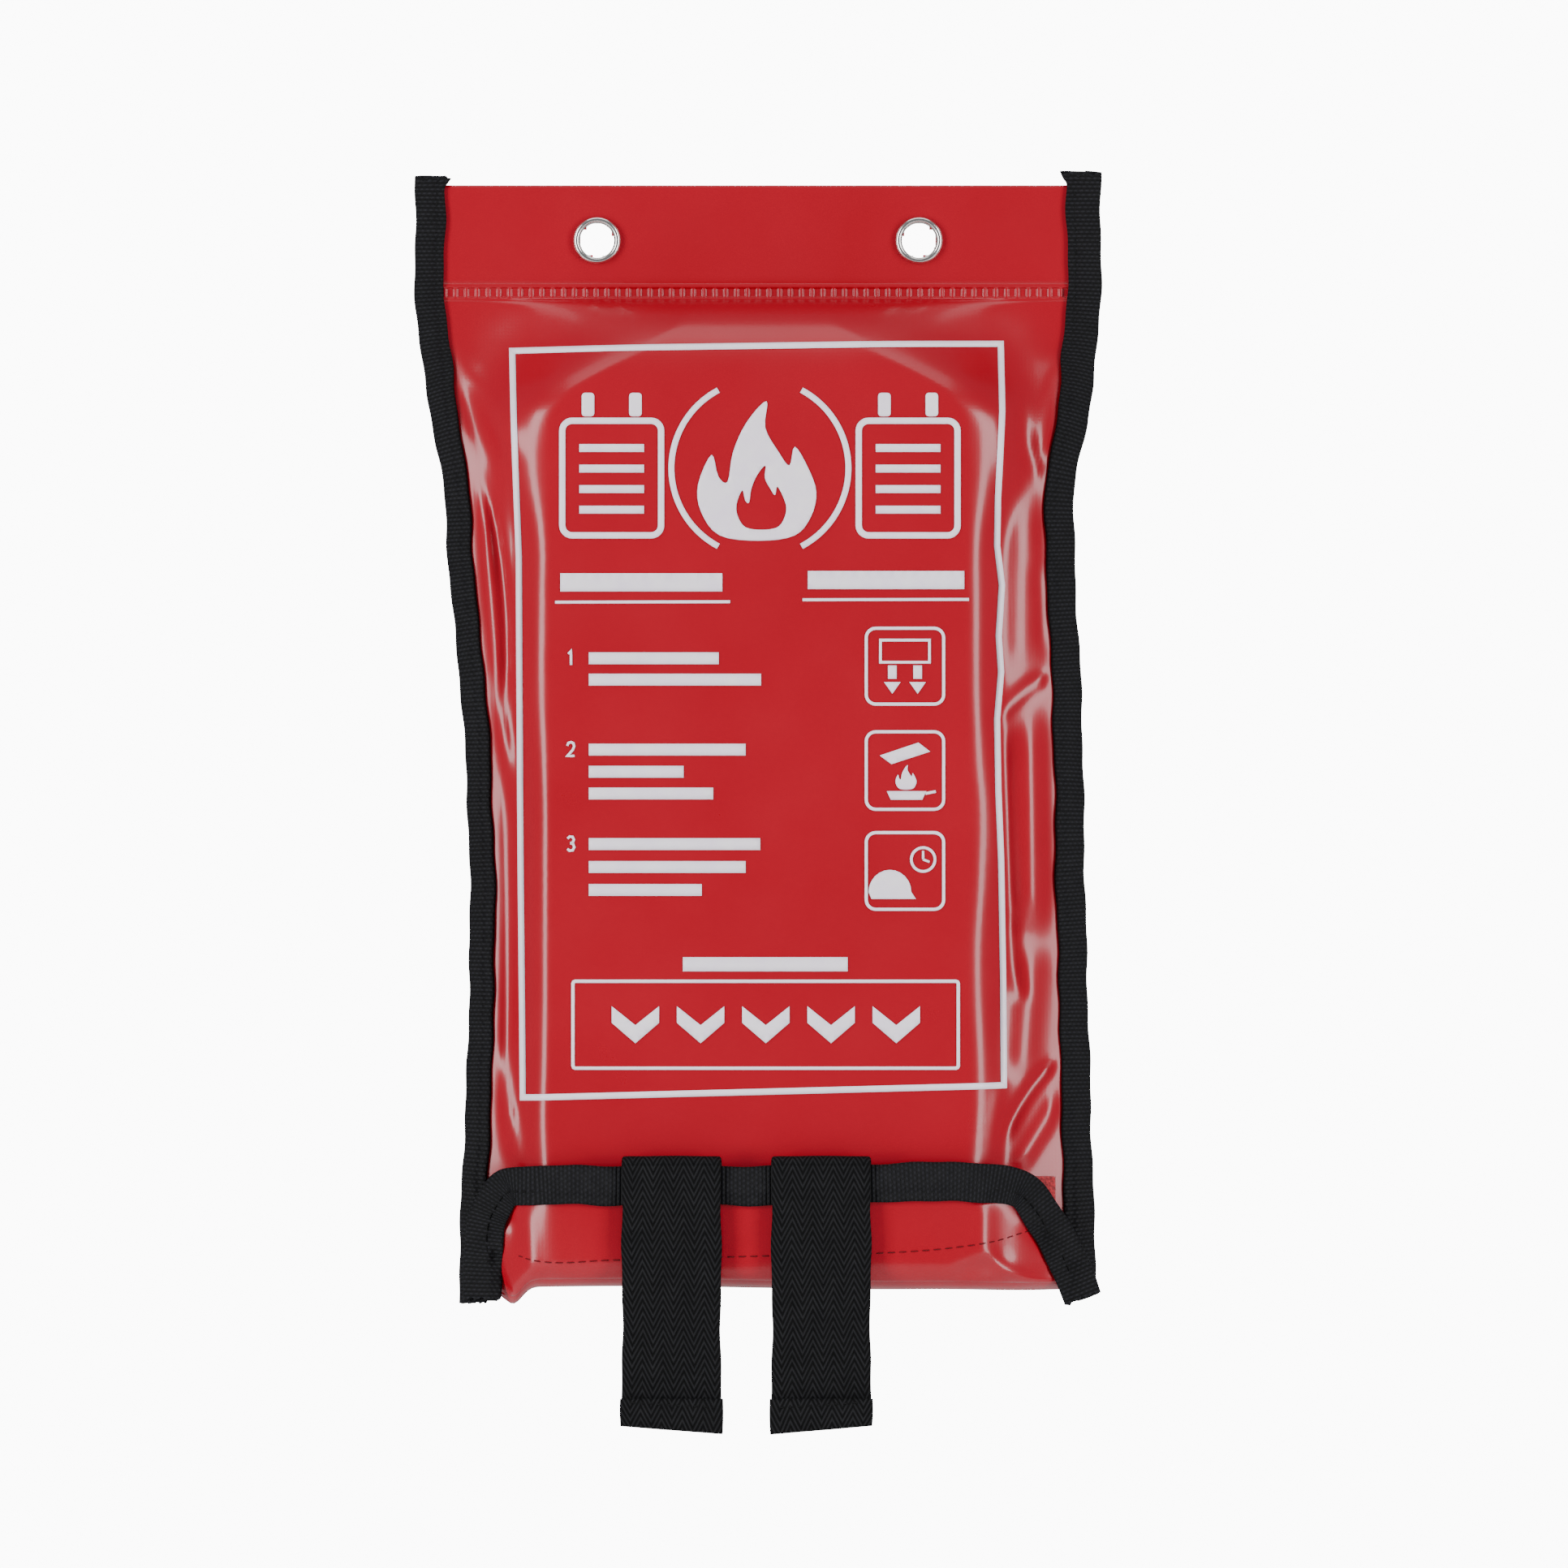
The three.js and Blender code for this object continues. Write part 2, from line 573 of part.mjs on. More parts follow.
function tabAnchor(x0, x1) {
  const back = ANCHOR_DEPTH;
  const front = back + TAB_THICKNESS;
  const low = BEND.height - LEG_RADII.outer;
  const high = BEND.height - LEG_RADII.inner;
  const end = BEND_SPLIT - SPLIT_CLEARANCE;
  return profile(x0, x1, [
    [back, ANCHOR_HEIGHT],
    [back, high],
    [front, low],
    ...arc(BEND, LEG_RADII.outer, 0, end, 5),
    ...arc(BEND, LEG_RADII.inner, end, 0, 5),
    [front + 0.6, high],
    [front, high + 0.6],
    [front, ANCHOR_HEIGHT],
  ]);
}

function tabLeg(x0, x1) {
  const start = BEND_SPLIT + SPLIT_CLEARANCE;
  return profile(x0, x1, [
    ...arc(BEND, LEG_RADII.outer, start, Math.PI / 2, 5),
    [BEND.depth + LEG_RADII.outer, LEG_TOP],
    [BEND.depth + LEG_RADII.inner, LEG_TOP],
    ...arc(BEND, LEG_RADII.inner, Math.PI / 2, start, 5),
  ]);
}

// The turn over the flap's edge, from the leg on the inside to the tail on the outside.
function tabTurn(x0, x1) {
  const inner = TURN_RADIUS - TAB_THICKNESS;
  const legEnd = LEG_TOP + FLEX_CLEARANCE;
  const tailEnd = TAIL_TOP + FLEX_CLEARANCE;
  return profile(x0, x1, [
    [TURN.depth - TURN_RADIUS, legEnd],
    ...arc(TURN, TURN_RADIUS, -Math.PI / 2, -1.5 * Math.PI, 12),
    [TURN.depth + TURN_RADIUS, tailEnd],
    [TURN.depth + inner, tailEnd],
    ...arc(TURN, inner, -1.5 * Math.PI, -Math.PI / 2, 12),
    [TURN.depth - inner, legEnd],
  ]);
}

function pullTab(x0, x1) {
  const hemTop = TAB_END + TAB_HEM;
  return profile(x0, x1, [
    [TAIL_BACK, TAIL_TOP],
    [TAIL_FRONT, TAIL_TOP],
    [TAIL_FRONT, hemTop],
    [TAIL_FRONT + TAB_THICKNESS, hemTop],
    [TAIL_FRONT + TAB_THICKNESS, TAB_END],
    [TAIL_BACK, TAB_END],
  ]);
}

// A rectangle of stitching on a tape from x0 to x1, as one closed run of thread that stands in front of a
// depth.
function boxStitch(x0, x1, { inset, low, high }, depth) {
  const corners = (inward) => [
    new THREE.Vector2(x0 + inset + inward, low + inward),
    new THREE.Vector2(x1 - inset - inward, low + inward),
    new THREE.Vector2(x1 - inset - inward, high - inward),
    new THREE.Vector2(x0 + inset + inward, high - inward),
  ];
  const loop = new THREE.Shape(corners(0));
  loop.holes.push(new THREE.Path(corners(THREAD).reverse()));
  const thread = new THREE.ExtrudeGeometry(loop, { depth: THREAD, bevelEnabled: false });
  thread.rotateX(Math.PI / 2);
  return merged(thread.translate(0, -depth, 0));
}

for (const [name, centre] of Object.entries(TAB_CENTRES)) {
  const x0 = centre - TAB_WIDTH / 2;
  const x1 = centre + TAB_WIDTH / 2;
  const anchorThread = ANCHOR_DEPTH - THREAD_LIFT - THREAD;
  const hemThread = TAIL_FRONT + TAB_THICKNESS + THREAD_LIFT;
  const anchorStitching = boxStitch(x0, x1, ANCHOR_STITCH, anchorThread);
  const hemStitching = boxStitch(x0, x1, HEM_STITCH, hemThread);
  add(`${name}_tab_anchor`, tabAnchor(x0, x1), tape);
  add(`${name}_anchor_stitching`, anchorStitching, blackThread);
  add(`${name}_tab_leg`, tabLeg(x0, x1), tape);
  add(`${name}_tab_turn`, tabTurn(x0, x1), tape);
  add(`${name}_pull_tab`, pullTab(x0, x1), tape);
  add(`${name}_tab_stitching`, hemStitching, blackThread);
}

export default part;
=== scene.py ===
"""Looks of the wall-hung soft-case fire blanket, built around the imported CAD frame.

Shapes are worked out in millimetres in the pouch's own terms: x to the right, depth in front of the wall, and
height above the bottom fold. at() turns those into the frame's metres.
"""

import json

import bmesh
import bpy
import numpy as np
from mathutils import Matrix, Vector, geometry, noise
from mathutils.bvhtree import BVHTree


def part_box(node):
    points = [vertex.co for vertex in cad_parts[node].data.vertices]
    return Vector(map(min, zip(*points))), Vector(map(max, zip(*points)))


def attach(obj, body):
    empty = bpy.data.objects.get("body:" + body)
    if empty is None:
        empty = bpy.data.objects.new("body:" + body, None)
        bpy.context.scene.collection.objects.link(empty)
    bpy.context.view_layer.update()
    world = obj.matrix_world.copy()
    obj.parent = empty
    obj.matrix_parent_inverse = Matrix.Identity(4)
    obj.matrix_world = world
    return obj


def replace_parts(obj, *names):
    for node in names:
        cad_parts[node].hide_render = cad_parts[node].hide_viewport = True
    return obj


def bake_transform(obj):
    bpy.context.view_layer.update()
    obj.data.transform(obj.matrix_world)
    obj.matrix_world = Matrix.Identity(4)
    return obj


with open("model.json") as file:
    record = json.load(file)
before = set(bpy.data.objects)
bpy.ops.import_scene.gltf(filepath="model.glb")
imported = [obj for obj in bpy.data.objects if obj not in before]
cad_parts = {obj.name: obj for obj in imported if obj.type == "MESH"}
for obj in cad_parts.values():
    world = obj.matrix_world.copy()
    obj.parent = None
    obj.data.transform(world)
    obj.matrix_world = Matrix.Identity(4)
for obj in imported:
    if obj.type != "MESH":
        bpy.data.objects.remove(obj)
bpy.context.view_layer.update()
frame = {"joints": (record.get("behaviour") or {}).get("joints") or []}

# ---- sizes from the frame ----
MM = 0.001
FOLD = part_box("back_panel")[0].z - 0.8 * MM  # height of the bottom fold in the frame


def extent(node, axis):
    """A CAD node's range of x, depth or height, in the pouch's own terms."""
    low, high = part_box(node)
    if axis == "x":
        return low.x / MM, high.x / MM
    if axis == "depth":
        return -high.y / MM, -low.y / MM
    return (low.z - FOLD) / MM, (high.z - FOLD) / MM


POUCH_TOP = extent("front_panel", "height")[1]
PACK_FACE = extent("front_panel", "depth")[1]
FLAP_BACK = extent("hook_tape", "depth")[1] + 0.1
EYELET_X = sum(extent("right_eyelet", "x")) / 2
EYELET_Z = sum(extent("right_eyelet", "height")) / 2
EYELET_RADIUS = extent("right_eyelet", "x")[1] - EYELET_X
TAB_SPANS = {side: extent(f"{side}_pull_tab", "x") for side in ("left", "right")}
TAIL_BACK = extent("left_pull_tab", "depth")[0]
TAB_TIP = extent("left_pull_tab", "height")[0] + 1.6  # lowest point of the tabs' middle

# ---- sizes of the soft goods ----
WELD = 252.7  # middle of the weld below the header
WELD_HALF = 1.75  # half the height of the weld's band
HEADER_SEAM = 2.35  # depth of the plane between the two sheets in the header
SHEET = 0.5
SEAM_GAP = 0.35
HEADER_FACE = HEADER_SEAM + SEAM_GAP + SHEET
POUCH_WIDTH = 175.0
EDGE_INSET = 1.0  # how far the sheets end inside the bindings' outer edges
BINDING_WIDTH = 9.0
TAPE = 0.75
THREAD_RADIUS = 0.22
TAB_THICKNESS = 0.9
PACK_EDGE = 55.0  # the pack's rounded side edges
PACK_TOP = 204.0  # where the pack starts to round back to the header
FLAP_TOP = 31.1
AHEAD = (0.0, -1.0, 0.0)  # out of the wall, in the frame's axes
BACKWARD = (0.0, 1.0, 0.0)


def at(x, depth, height):
    """Points in the frame, in metres, from millimetres in the pouch's own terms."""
    x, depth, height = np.broadcast_arrays(x, depth, height)
    return np.stack([x * MM, -depth * MM, height * MM + FOLD], axis=-1)


def lerp(a, b, t):
    return a + (b - a) * t


def ease(t):
    """0 to 1 with level ends."""
    t = np.clip(t, 0.0, 1.0)
    return t**3 * (t * (t * 6 - 15) + 10)


def bell(x, centre, width):
    """A soft bump, 1 at its centre."""
    return np.exp(-(((x - centre) / width) ** 2))


def through(keys, x):
    """A smooth curve through (place, value) key points, level past both ends."""
    xs, ys = np.array(keys, float).T
    slope = np.gradient(ys, xs)
    slope[0] = slope[-1] = 0.0
    x = np.clip(x, xs[0], xs[-1])
    i = np.clip(np.searchsorted(xs, x) - 1, 0, len(xs) - 2)
    width = xs[i + 1] - xs[i]
    t = (x - xs[i]) / width
    rise = ys[i] * (1 + 2 * t) * (1 - t) ** 2 + ys[i + 1] * t**2 * (3 - 2 * t)
    return rise + width * (slope[i] * t * (1 - t) ** 2 - slope[i + 1] * t**2 * (1 - t))


def run_along(points):
    """The distance travelled at each of a row of points."""
    return np.concatenate([[0], np.cumsum(np.linalg.norm(np.diff(points, axis=0), axis=1))])


# ---- the pouch's resting shape ----
# Outer edges of the side bindings, as (height, x).
LEFT_EDGE = [(0, -76), (17, -75.5), (59, -73.6), (110, -73.2), (150, -75.2), (182, -78.4), (203, -79.8)]
LEFT_EDGE += [(220, -82.9), (234, -85.5), (247, -87.0), (280, -87.3)]
RIGHT_EDGE = [(0, 86), (20, 85.2), (59, 84.0), (110, 82.7), (150, 82.0), (182, 80.4), (203, 80.3)]
RIGHT_EDGE += [(220, 83.7), (234, 85.9), (247, 87.0), (280, 87.3)]


def edge_of(side, z):
    """Outer edge of a side binding, as a distance from the middle."""
    keys = LEFT_EDGE if side < 0 else RIGHT_EDGE
    return side * through(keys, z)


def seam_of(x, z):
    """The binding's outer edge and the seam's depth on x's side of the pouch."""
    left = x < 0
    return np.where(left, edge_of(-1, z), edge_of(1, z)), np.where(left, seam_depth(-1, z), seam_depth(1, z))


def opened(z):
    """How far the two sheets have parted, from 0 at the weld to 1 well below it."""
    return ease((WELD + 2.3 - z) / 60)


def seam_depth(side, z):
    """Depth of the seam at a side binding's outer edge, which floats forward beside the pack and wanders."""
    wander = 0.9 * np.sin(z / 17.0 + side) + 0.6 * np.sin(z / 9.5 + 2.0 * side)
    return HEADER_SEAM + opened(z) * (10.5 * ease((z + 45) / 85) + wander * ease(z / 50))


def seam_lean(z):
    return opened(z) * lerp(0.35, 0.55, ease(z / 60))


def ridge(x, z, start, end, bow, width, height):
    """A soft fold between two (x, z) points, bowed to one side and dying away at both ends."""
    (x0, z0), (x1, z1) = start, end
    length = np.hypot(x1 - x0, z1 - z0)
    ux, uz = (x1 - x0) / length, (z1 - z0) / length
    along = ((x - x0) * ux + (z - z0) * uz) / length
    across = (x - x0) * -uz + (z - z0) * ux
    bend = 4 * bow * along * (1 - along)
    fade = ease(along * 3.5) * ease((1 - along) * 3.5)
    return height * fade * bell(across, bend, width)


# Folds beside the pack: (start, end, bow, width, height), where a valley has a negative height.
FOLDS = [
    ((-82, 244), (-59, 207), 1.5, 3.2, 2.5),
    ((-80, 252), (-54, 233), 0.0, 3.2, -1.1),
    ((-78, 232), (-64, 204), 0.0, 2.6, -1.2),
    ((-72.5, 212), (-65, 142), 4.5, 1.5, -2.0),
    ((-70.5, 210), (-68, 143), 0.0, 3.0, 2.2),
    ((-65, 214), (-61.5, 146), 0.0, 2.0, 1.2),
    ((-71, 157), (-58, 112), 1.0, 2.2, 1.5),
    ((-67, 138), (-64.5, 42), 0.0, 2.6, -2.4),
    ((-70, 112), (-69, 60), 0.0, 2.0, 0.8),
    ((-70, 66), (-59, 26), 1.0, 3.0, 2.0),
    ((-64, 50), (-60, 26), 0.0, 1.5, 1.0),
    ((82, 250), (58, 236), 0.0, 3.0, -1.0),
    ((68, 244), (74, 200), -4.5, 2.8, -1.7),
    ((75, 240), (72, 206), -1.0, 3.2, 2.4),
    ((62, 232), (66, 198), -2.0, 2.6, 1.0),
    ((68, 206), (67, 150), 0.0, 4.6, 1.6),
    ((72, 186), (74, 160), 0.0, 2.4, -1.0),
    ((58, 141), (77, 157), 1.6, 2.0, -1.4),
    ((69, 152), (70, 84), 0.0, 3.3, 2.6),
    ((62, 150), (64.5, 84), 0.0, 2.0, -1.7),
    ((64, 98), (68, 70), -1.5, 1.9, -1.3),
    ((70, 90), (67, 50), 0.0, 3.4, 1.5),
    ((78, 60), (61, 34), -2.0, 1.7, -1.8),
    ((79, 52), (64, 28), 0.0, 2.4, 1.6),
    ((62, 56), (58, 27), 0.0, 2.2, 1.0),
]


def noise_field(x, z, scale, seed):
    """Smooth noise from -1 to 1 over the pouch, with bumps about scale millimetres apart."""
    flat = [noise.noise(Vector((a / scale, b / scale, seed))) for a, b in zip(x.ravel(), z.ravel())]
    return np.array(flat).reshape(x.shape)


def pack_crown(x, z):
    """The pack's front: faintly crowned, with fine ripples of slack sheet along its rounded edges."""
    crown = 0.9 * (1 - (x / PACK_EDGE) ** 2) * ease((z - 20) / 60) * ease((225 - z) / 60)
    left = bell(x, -56, 2.6) * ease((z - 20) / 30) * ease((212 - z) / 20)
    right = bell(x, 55, 2.8) * ease((z - 24) / 12) * ease((205 - z) / 60)
    ripple = np.sin(z / 0.62 + 1.5 * np.sin(z / 9.0)) * (0.5 + 0.5 * np.sin(z / 14.0))
    return crown - 0.9 + 0.07 * ripple * (left + right)


def front_depth(x, z):
    """Depth of the front panel's outer face."""
    edge, seam = seam_of(x, z)
    skirt = seam + SEAM_GAP + SHEET + seam_lean(z) * np.clip(edge - np.abs(x), 0, 30)
    rise = np.clip((z - PACK_TOP) / (WELD - 1.7 - PACK_TOP), 0, 1)
    pillow = lerp(HEADER_FACE, PACK_FACE, np.sqrt(1 - rise**3.0)) + pack_crown(x, z) * opened(z)
    inner = edge - BINDING_WIDTH + 1
    flat = lerp(PACK_EDGE - 2.0, 16.0, ease((z - PACK_TOP - 12) / 38))
    foot = lerp(63.5, inner, ease((z - 180) / 40))
    t = np.clip((np.abs(x) - flat) / (foot - flat), 0, 1)
    fall = lerp(ease(t), 1 - (1 - t) ** 2, 0.3)
    depth = lerp(pillow, np.minimum(skirt, pillow), fall)
    folds = 0.82 * sum(ridge(x, z, *fold) for fold in FOLDS)
    slack = ease((np.abs(x) - PACK_EDGE + 1) / 8) * ease((inner - np.abs(x)) / 4 + 0.25)
    return depth + folds * slack * opened(z)


def back_depth(x, z):
    """Depth of the back sheet's outer face: on the wall behind the pack, drawn forward to the seams."""
    edge, seam = seam_of(x, z)
    skirt = seam - SEAM_GAP - SHEET + seam_lean(z) * np.clip(edge - np.abs(x), 0, 22)
    inner = edge - BINDING_WIDTH
    t = np.clip((np.abs(x) - PACK_EDGE) / (inner - PACK_EDGE), 0, 1)
    behind = (1 - ease(t)) * ease((WELD - 2 - z) / 22)
    folds = sum(ridge(x, z, *fold) for fold in FOLDS)
    slack = ease((np.abs(x) - 56) / 6) * ease((inner - np.abs(x)) / 4)
    spread = 0.9 * np.minimum(folds, 0) - 0.4 * np.maximum(folds, 0)
    return lerp(skirt, 0.0, behind) + spread * slack * opened(z)


# ---- mesh helpers ----
def mesh_piece(name, points, faces, material, uvs=None):
    mesh = bpy.data.meshes.new(name)
    mesh.from_pydata([tuple(p) for p in points], [], [tuple(int(i) for i in f) for f in faces])
    if uvs is not None:
        layer = mesh.uv_layers.new(name="cloth")
        index = np.empty(len(mesh.loops), np.int32)
        mesh.loops.foreach_get("vertex_index", index)
        layer.data.foreach_set("uv", np.asarray(uvs, np.float32)[index].ravel())
    mesh.validate()
    piece = bpy.data.objects.new(name, mesh)
    bpy.context.scene.collection.objects.link(piece)
    mesh.materials.append(material)
    mesh.polygons.foreach_set("use_smooth", [True] * len(mesh.polygons))
    return piece


def grid_faces(columns, rows, start=0, wrap=False):
    """Quads over a grid of points stored row by row. wrap joins each row's end to its start."""
    faces = []
    across = columns if wrap else columns - 1
    for j in range(rows - 1):
        for i in range(across):
            a = start + j * columns + i
            b = start + j * columns + (i + 1) % columns
            faces.append((a, b, b + columns, a + columns))
    return faces


def closed_layer(faces, count):
    """The given faces, the same faces turned over count points further on, and the rim that joins them."""
    under = [tuple(i + count for i in f[::-1]) for f in faces]
    edges = dict.fromkeys((a, b) for f in faces for a, b in zip(f, (*f[1:], f[0])))
    return faces + under + [(b, a, a + count, b + count) for a, b in edges if (b, a) not in edges]


def sheet_piece(name, front, back, material, uv, hole=None):
    """A closed thin sheet between two grids of points. hole marks the quads to leave out."""
    rows, columns = front.shape[:2]
    quads = grid_faces(columns, rows)
    if hole is not None:
        quads = [q for q, gone in zip(quads, hole.ravel()) if not gone]
    points = np.concatenate([front.reshape(-1, 3), back.reshape(-1, 3)])
    uvs = np.concatenate([uv.reshape(-1, 2)] * 2)
    return mesh_piece(name, points, closed_layer(quads, rows * columns), material, uvs)


def cloth_sheet(name, x, z, outer, inner, material, hole=None):
    """A sheet over a grid of x and height, between its outer and inner depths."""
    return sheet_piece(name, at(x, outer, z), at(x, inner, z), material, np.stack([x, z], -1), hole)


def swept_piece(name, rings, material, run, length):
    """A closed body from rings of points, shape (rings, points, 3), with both ends filled.

    run and length are the cloth's own distances round a ring and from ring to ring.
    """
    uv = np.stack(np.broadcast_arrays(run, length[:, None]), axis=-1)
    count, around = rings.shape[:2]
    faces = grid_faces(around, count, wrap=True)
    faces.append(tuple(range(around - 1, -1, -1)))
    faces.append(tuple(range((count - 1) * around, count * around)))
    piece = mesh_piece(name, rings.reshape(-1, 3), faces, material, uv.reshape(-1, 2))
    outward(piece)
    return piece


def outward(piece):
    """Turns a closed piece's faces to the outside."""
    shell = bmesh.new()
    shell.from_mesh(piece.data)
    bmesh.ops.recalc_face_normals(shell, faces=shell.faces)
    shell.to_mesh(piece.data)
    shell.free()


def unit(v):
    return v / np.maximum(np.linalg.norm(v, axis=-1, keepdims=True), 1e-9)


def fit(piece, body, *nodes):
    """Puts a piece on its body, in place of the CAD nodes it shows."""
    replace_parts(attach(piece, body), *nodes)


# ---- materials ----
class Finish:
    """One node material, with short calls for the nodes it is built from."""

    def __init__(self, name, colour, roughness, **inputs):
        self.material = bpy.data.materials.new(name)
        self.material.use_nodes = True
        self.material.diffuse_color = (*colour, 1.0)
        self.nodes = self.material.node_tree.nodes
        self.links = self.material.node_tree.links
        self.shader = self.nodes["Principled BSDF"]
        self.put("Base Color", (*colour, 1.0))
        self.put("Roughness", roughness)
        for socket, value in inputs.items():
            self.put(socket.replace("_", " "), value)
        self.normal = None

    def put(self, socket, value):
        self.shader.inputs[socket].default_value = value

    def node(self, kind, **settings):
        made = self.nodes.new("ShaderNode" + kind)
        for name, value in settings.items():
            setattr(made, name, value)
        return made

    def join(self, output, target):
        self.links.new(output, target)

    def maths(self, operation, *values):
        made = self.node("Math", operation=operation)
        for k, value in enumerate(values):
            if isinstance(value, (int, float)):
                made.inputs[k].default_value = value
            else:
                self.join(value, made.inputs[k])
        return made.outputs[0]

    def cloth(self):
        """The piece's cloth coordinates: millimetres across and along."""
        split = self.node("SeparateXYZ")
        self.join(self.node("UVMap", uv_map="cloth").outputs["UV"], split.inputs[0])
        return split.outputs["X"], split.outputs["Y"]

    def noise(self, per_metre, detail=3.0):
        made = self.node("TexNoise")
        made.inputs["Scale"].default_value = per_metre
        made.inputs["Detail"].default_value = detail
        self.join(self.node("TexCoord").outputs["Object"], made.inputs["Vector"])
        return made.outputs["Fac"]

    def wave(self, value, pitch, phase=0.0):
        """A sine of a length, from 0 to 1, with a pitch in the same unit."""
        turns = self.maths("MULTIPLY_ADD", value, 2 * np.pi / pitch, phase)
        return self.maths("MULTIPLY_ADD", self.maths("SINE", turns), 0.5, 0.5)

    def grain(self, per_metre, detail, depth):
        """Adds fine uneven relief."""
        self.bump(self.noise(per_metre, detail), depth)

    def wear(self, per_metre, low, high, detail=3.0):
        """Lets the roughness wander between two values."""
        uneven = self.noise(per_metre, detail)
        made = self.node("MapRange")
        self.join(uneven, made.inputs["Value"])
        made.inputs["To Min"].default_value = low
        made.inputs["To Max"].default_value = high
        self.join(made.outputs["Result"], self.shader.inputs["Roughness"])

    def tint(self, value, dark, light, low=0.3, high=0.7):
        """Mixes two base colours by a 0 to 1 value."""
        ramp = self.node("ValToRGB")
        for stop, position, colour in zip(ramp.color_ramp.elements, (low, high), (dark, light)):
            stop.position = position
            stop.color = (*colour, 1.0)
        self.join(value, ramp.inputs["Fac"])
        self.join(ramp.outputs["Color"], self.shader.inputs["Base Color"])

    def bump(self, value, depth):
        """Adds relief, with its depth in millimetres."""
        made = self.node("Bump")
        made.inputs["Strength"].default_value = 1.0
        made.inputs["Distance"].default_value = depth * MM
        self.join(value, made.inputs["Height"])
        if self.normal is not None:
            self.join(self.normal, made.inputs["Normal"])
        self.normal = made.outputs["Normal"]
        self.join(self.normal, self.shader.inputs["Normal"])


def red_pvc():
    """Glossy soft PVC over a fine scrim, whose weave just shows through."""
    look = Finish("red_pvc", (0.38, 0.0002, 0.012), 0.3, Coat_Weight=0.26, Coat_Roughness=0.14)
    look.put("Specular IOR Level", 0.42)
    look.tint(look.noise(28.0, 4.0), (0.365, 0.0002, 0.011), (0.395, 0.0003, 0.013))
    look.wear(60.0, 0.24, 0.36, detail=5.0)
    across, along = look.cloth()
    pitch = 0.9
    scrim = look.maths("MULTIPLY", look.wave(across, pitch), look.wave(along, pitch))
    look.bump(scrim, 0.006)
    look.grain(900.0, 2.0, 0.007)
    look.grain(150.0, 3.0, 0.03)
    return look.material


def woven_tape(name, colour, pitch):
    """Ribbed binding tape: cross ribs broken up by the warp, their crests lightened by a painted highlight in
    the base colour.
    """
    look = Finish(name, colour, 0.72, Specular_IOR_Level=0.2)
    across, along = look.cloth()
    rib = look.wave(along, pitch)
    stagger = look.maths("MULTIPLY", look.maths("FLOOR", look.maths("DIVIDE", along, pitch)), np.pi)
    warp_turns = look.maths("MULTIPLY_ADD", across, 2 * np.pi / (pitch * 1.3), stagger)
    warp = look.maths("MULTIPLY_ADD", look.maths("SINE", warp_turns), 0.5, 0.5)
    weave = look.maths("MULTIPLY", look.maths("SQRT", rib), look.maths("MULTIPLY_ADD", warp, 0.5, 0.5))
    look.bump(weave, 0.3)
    look.grain(4000.0, 2.0, 0.02)
    # The rib crests are painted many times lighter than the tape, patchy by noise: a painted highlight
    # standing in for the ribs' sheen.
    light = tuple(11.0 * c for c in colour)
    patchy_rib_highlight = look.maths("MULTIPLY", weave, look.maths("MULTIPLY_ADD", look.noise(260.0, 4.0), 0.6, 0.6))
    look.tint(patchy_rib_highlight, colour, light, 0.3, 1.0)
    look.wear(400.0, 0.6, 0.85)
    return look.material


def tab_webbing():
    """Herringbone twill: diagonal ribs that turn back every few millimetres, lightened by a painted highlight
    on the ribs.
    """
    look = Finish("tab_webbing", (0.004, 0.004, 0.005), 0.8, Specular_IOR_Level=0.12)
    across, along = look.cloth()
    turn_back, steepness, rib_pitch, yarn_pitch = 2.6, 2.0, 2.2, 0.42
    zigzag = look.maths("PINGPONG", across, turn_back)
    twill = look.wave(look.maths("MULTIPLY_ADD", zigzag, steepness, along), rib_pitch)
    yarn = look.wave(across, yarn_pitch)
    weave = look.maths("MULTIPLY_ADD", yarn, 0.15, twill)
    look.bump(weave, 0.16)
    look.grain(3500.0, 2.0, 0.015)
    # The twill ribs are painted lighter than the webbing, patchy by noise: a painted highlight on the ribs.
    patchy_rib_highlight = look.maths("MULTIPLY", twill, look.maths("MULTIPLY_ADD", look.noise(200.0, 4.0), 0.6, 0.6))
    look.tint(patchy_rib_highlight, (0.0006, 0.0006, 0.0008), (0.015, 0.015, 0.017), 0.25, 1.0)
    look.wear(300.0, 0.65, 0.9)
    return look.material


def thread(name, colour):
    """Twisted thread."""
    look = Finish(name, colour, 0.7, Specular_IOR_Level=0.2)
    across, along = look.cloth()
    ply = look.wave(look.maths("MULTIPLY_ADD", across, 1.5, along), 0.5)
    look.bump(ply, 0.06)
    # The grooves between the plies are painted darker than the crests, following the relief: painted shade.
    look.tint(ply, tuple(0.6 * c for c in colour), colour, 0.1, 0.9)
    return look.material


def print_ink():
    """Pale screen-printed ink with a faint drag of the screen in it."""
    look = Finish("print_ink", (0.97, 0.9, 1.0), 0.38, Coat_Weight=0.15, Coat_Roughness=0.2)
    look.tint(look.noise(240.0, 5.0), (0.93, 0.84, 0.97), (1.0, 0.94, 1.0))
    look.wear(700.0, 0.3, 0.5)
    look.grain(2500.0, 2.0, 0.006)
    return look.material


def nickel_plate():
    look = Finish("nickel_plate", (0.8, 0.78, 0.75), 0.2, Metallic=1.0)
    look.tint(look.noise(300.0, 2.0), (0.74, 0.72, 0.68), (0.86, 0.84, 0.81))
    look.wear(500.0, 0.16, 0.26, detail=2.0)
    look.grain(500.0, 1.0, 0.004)
    return look.material


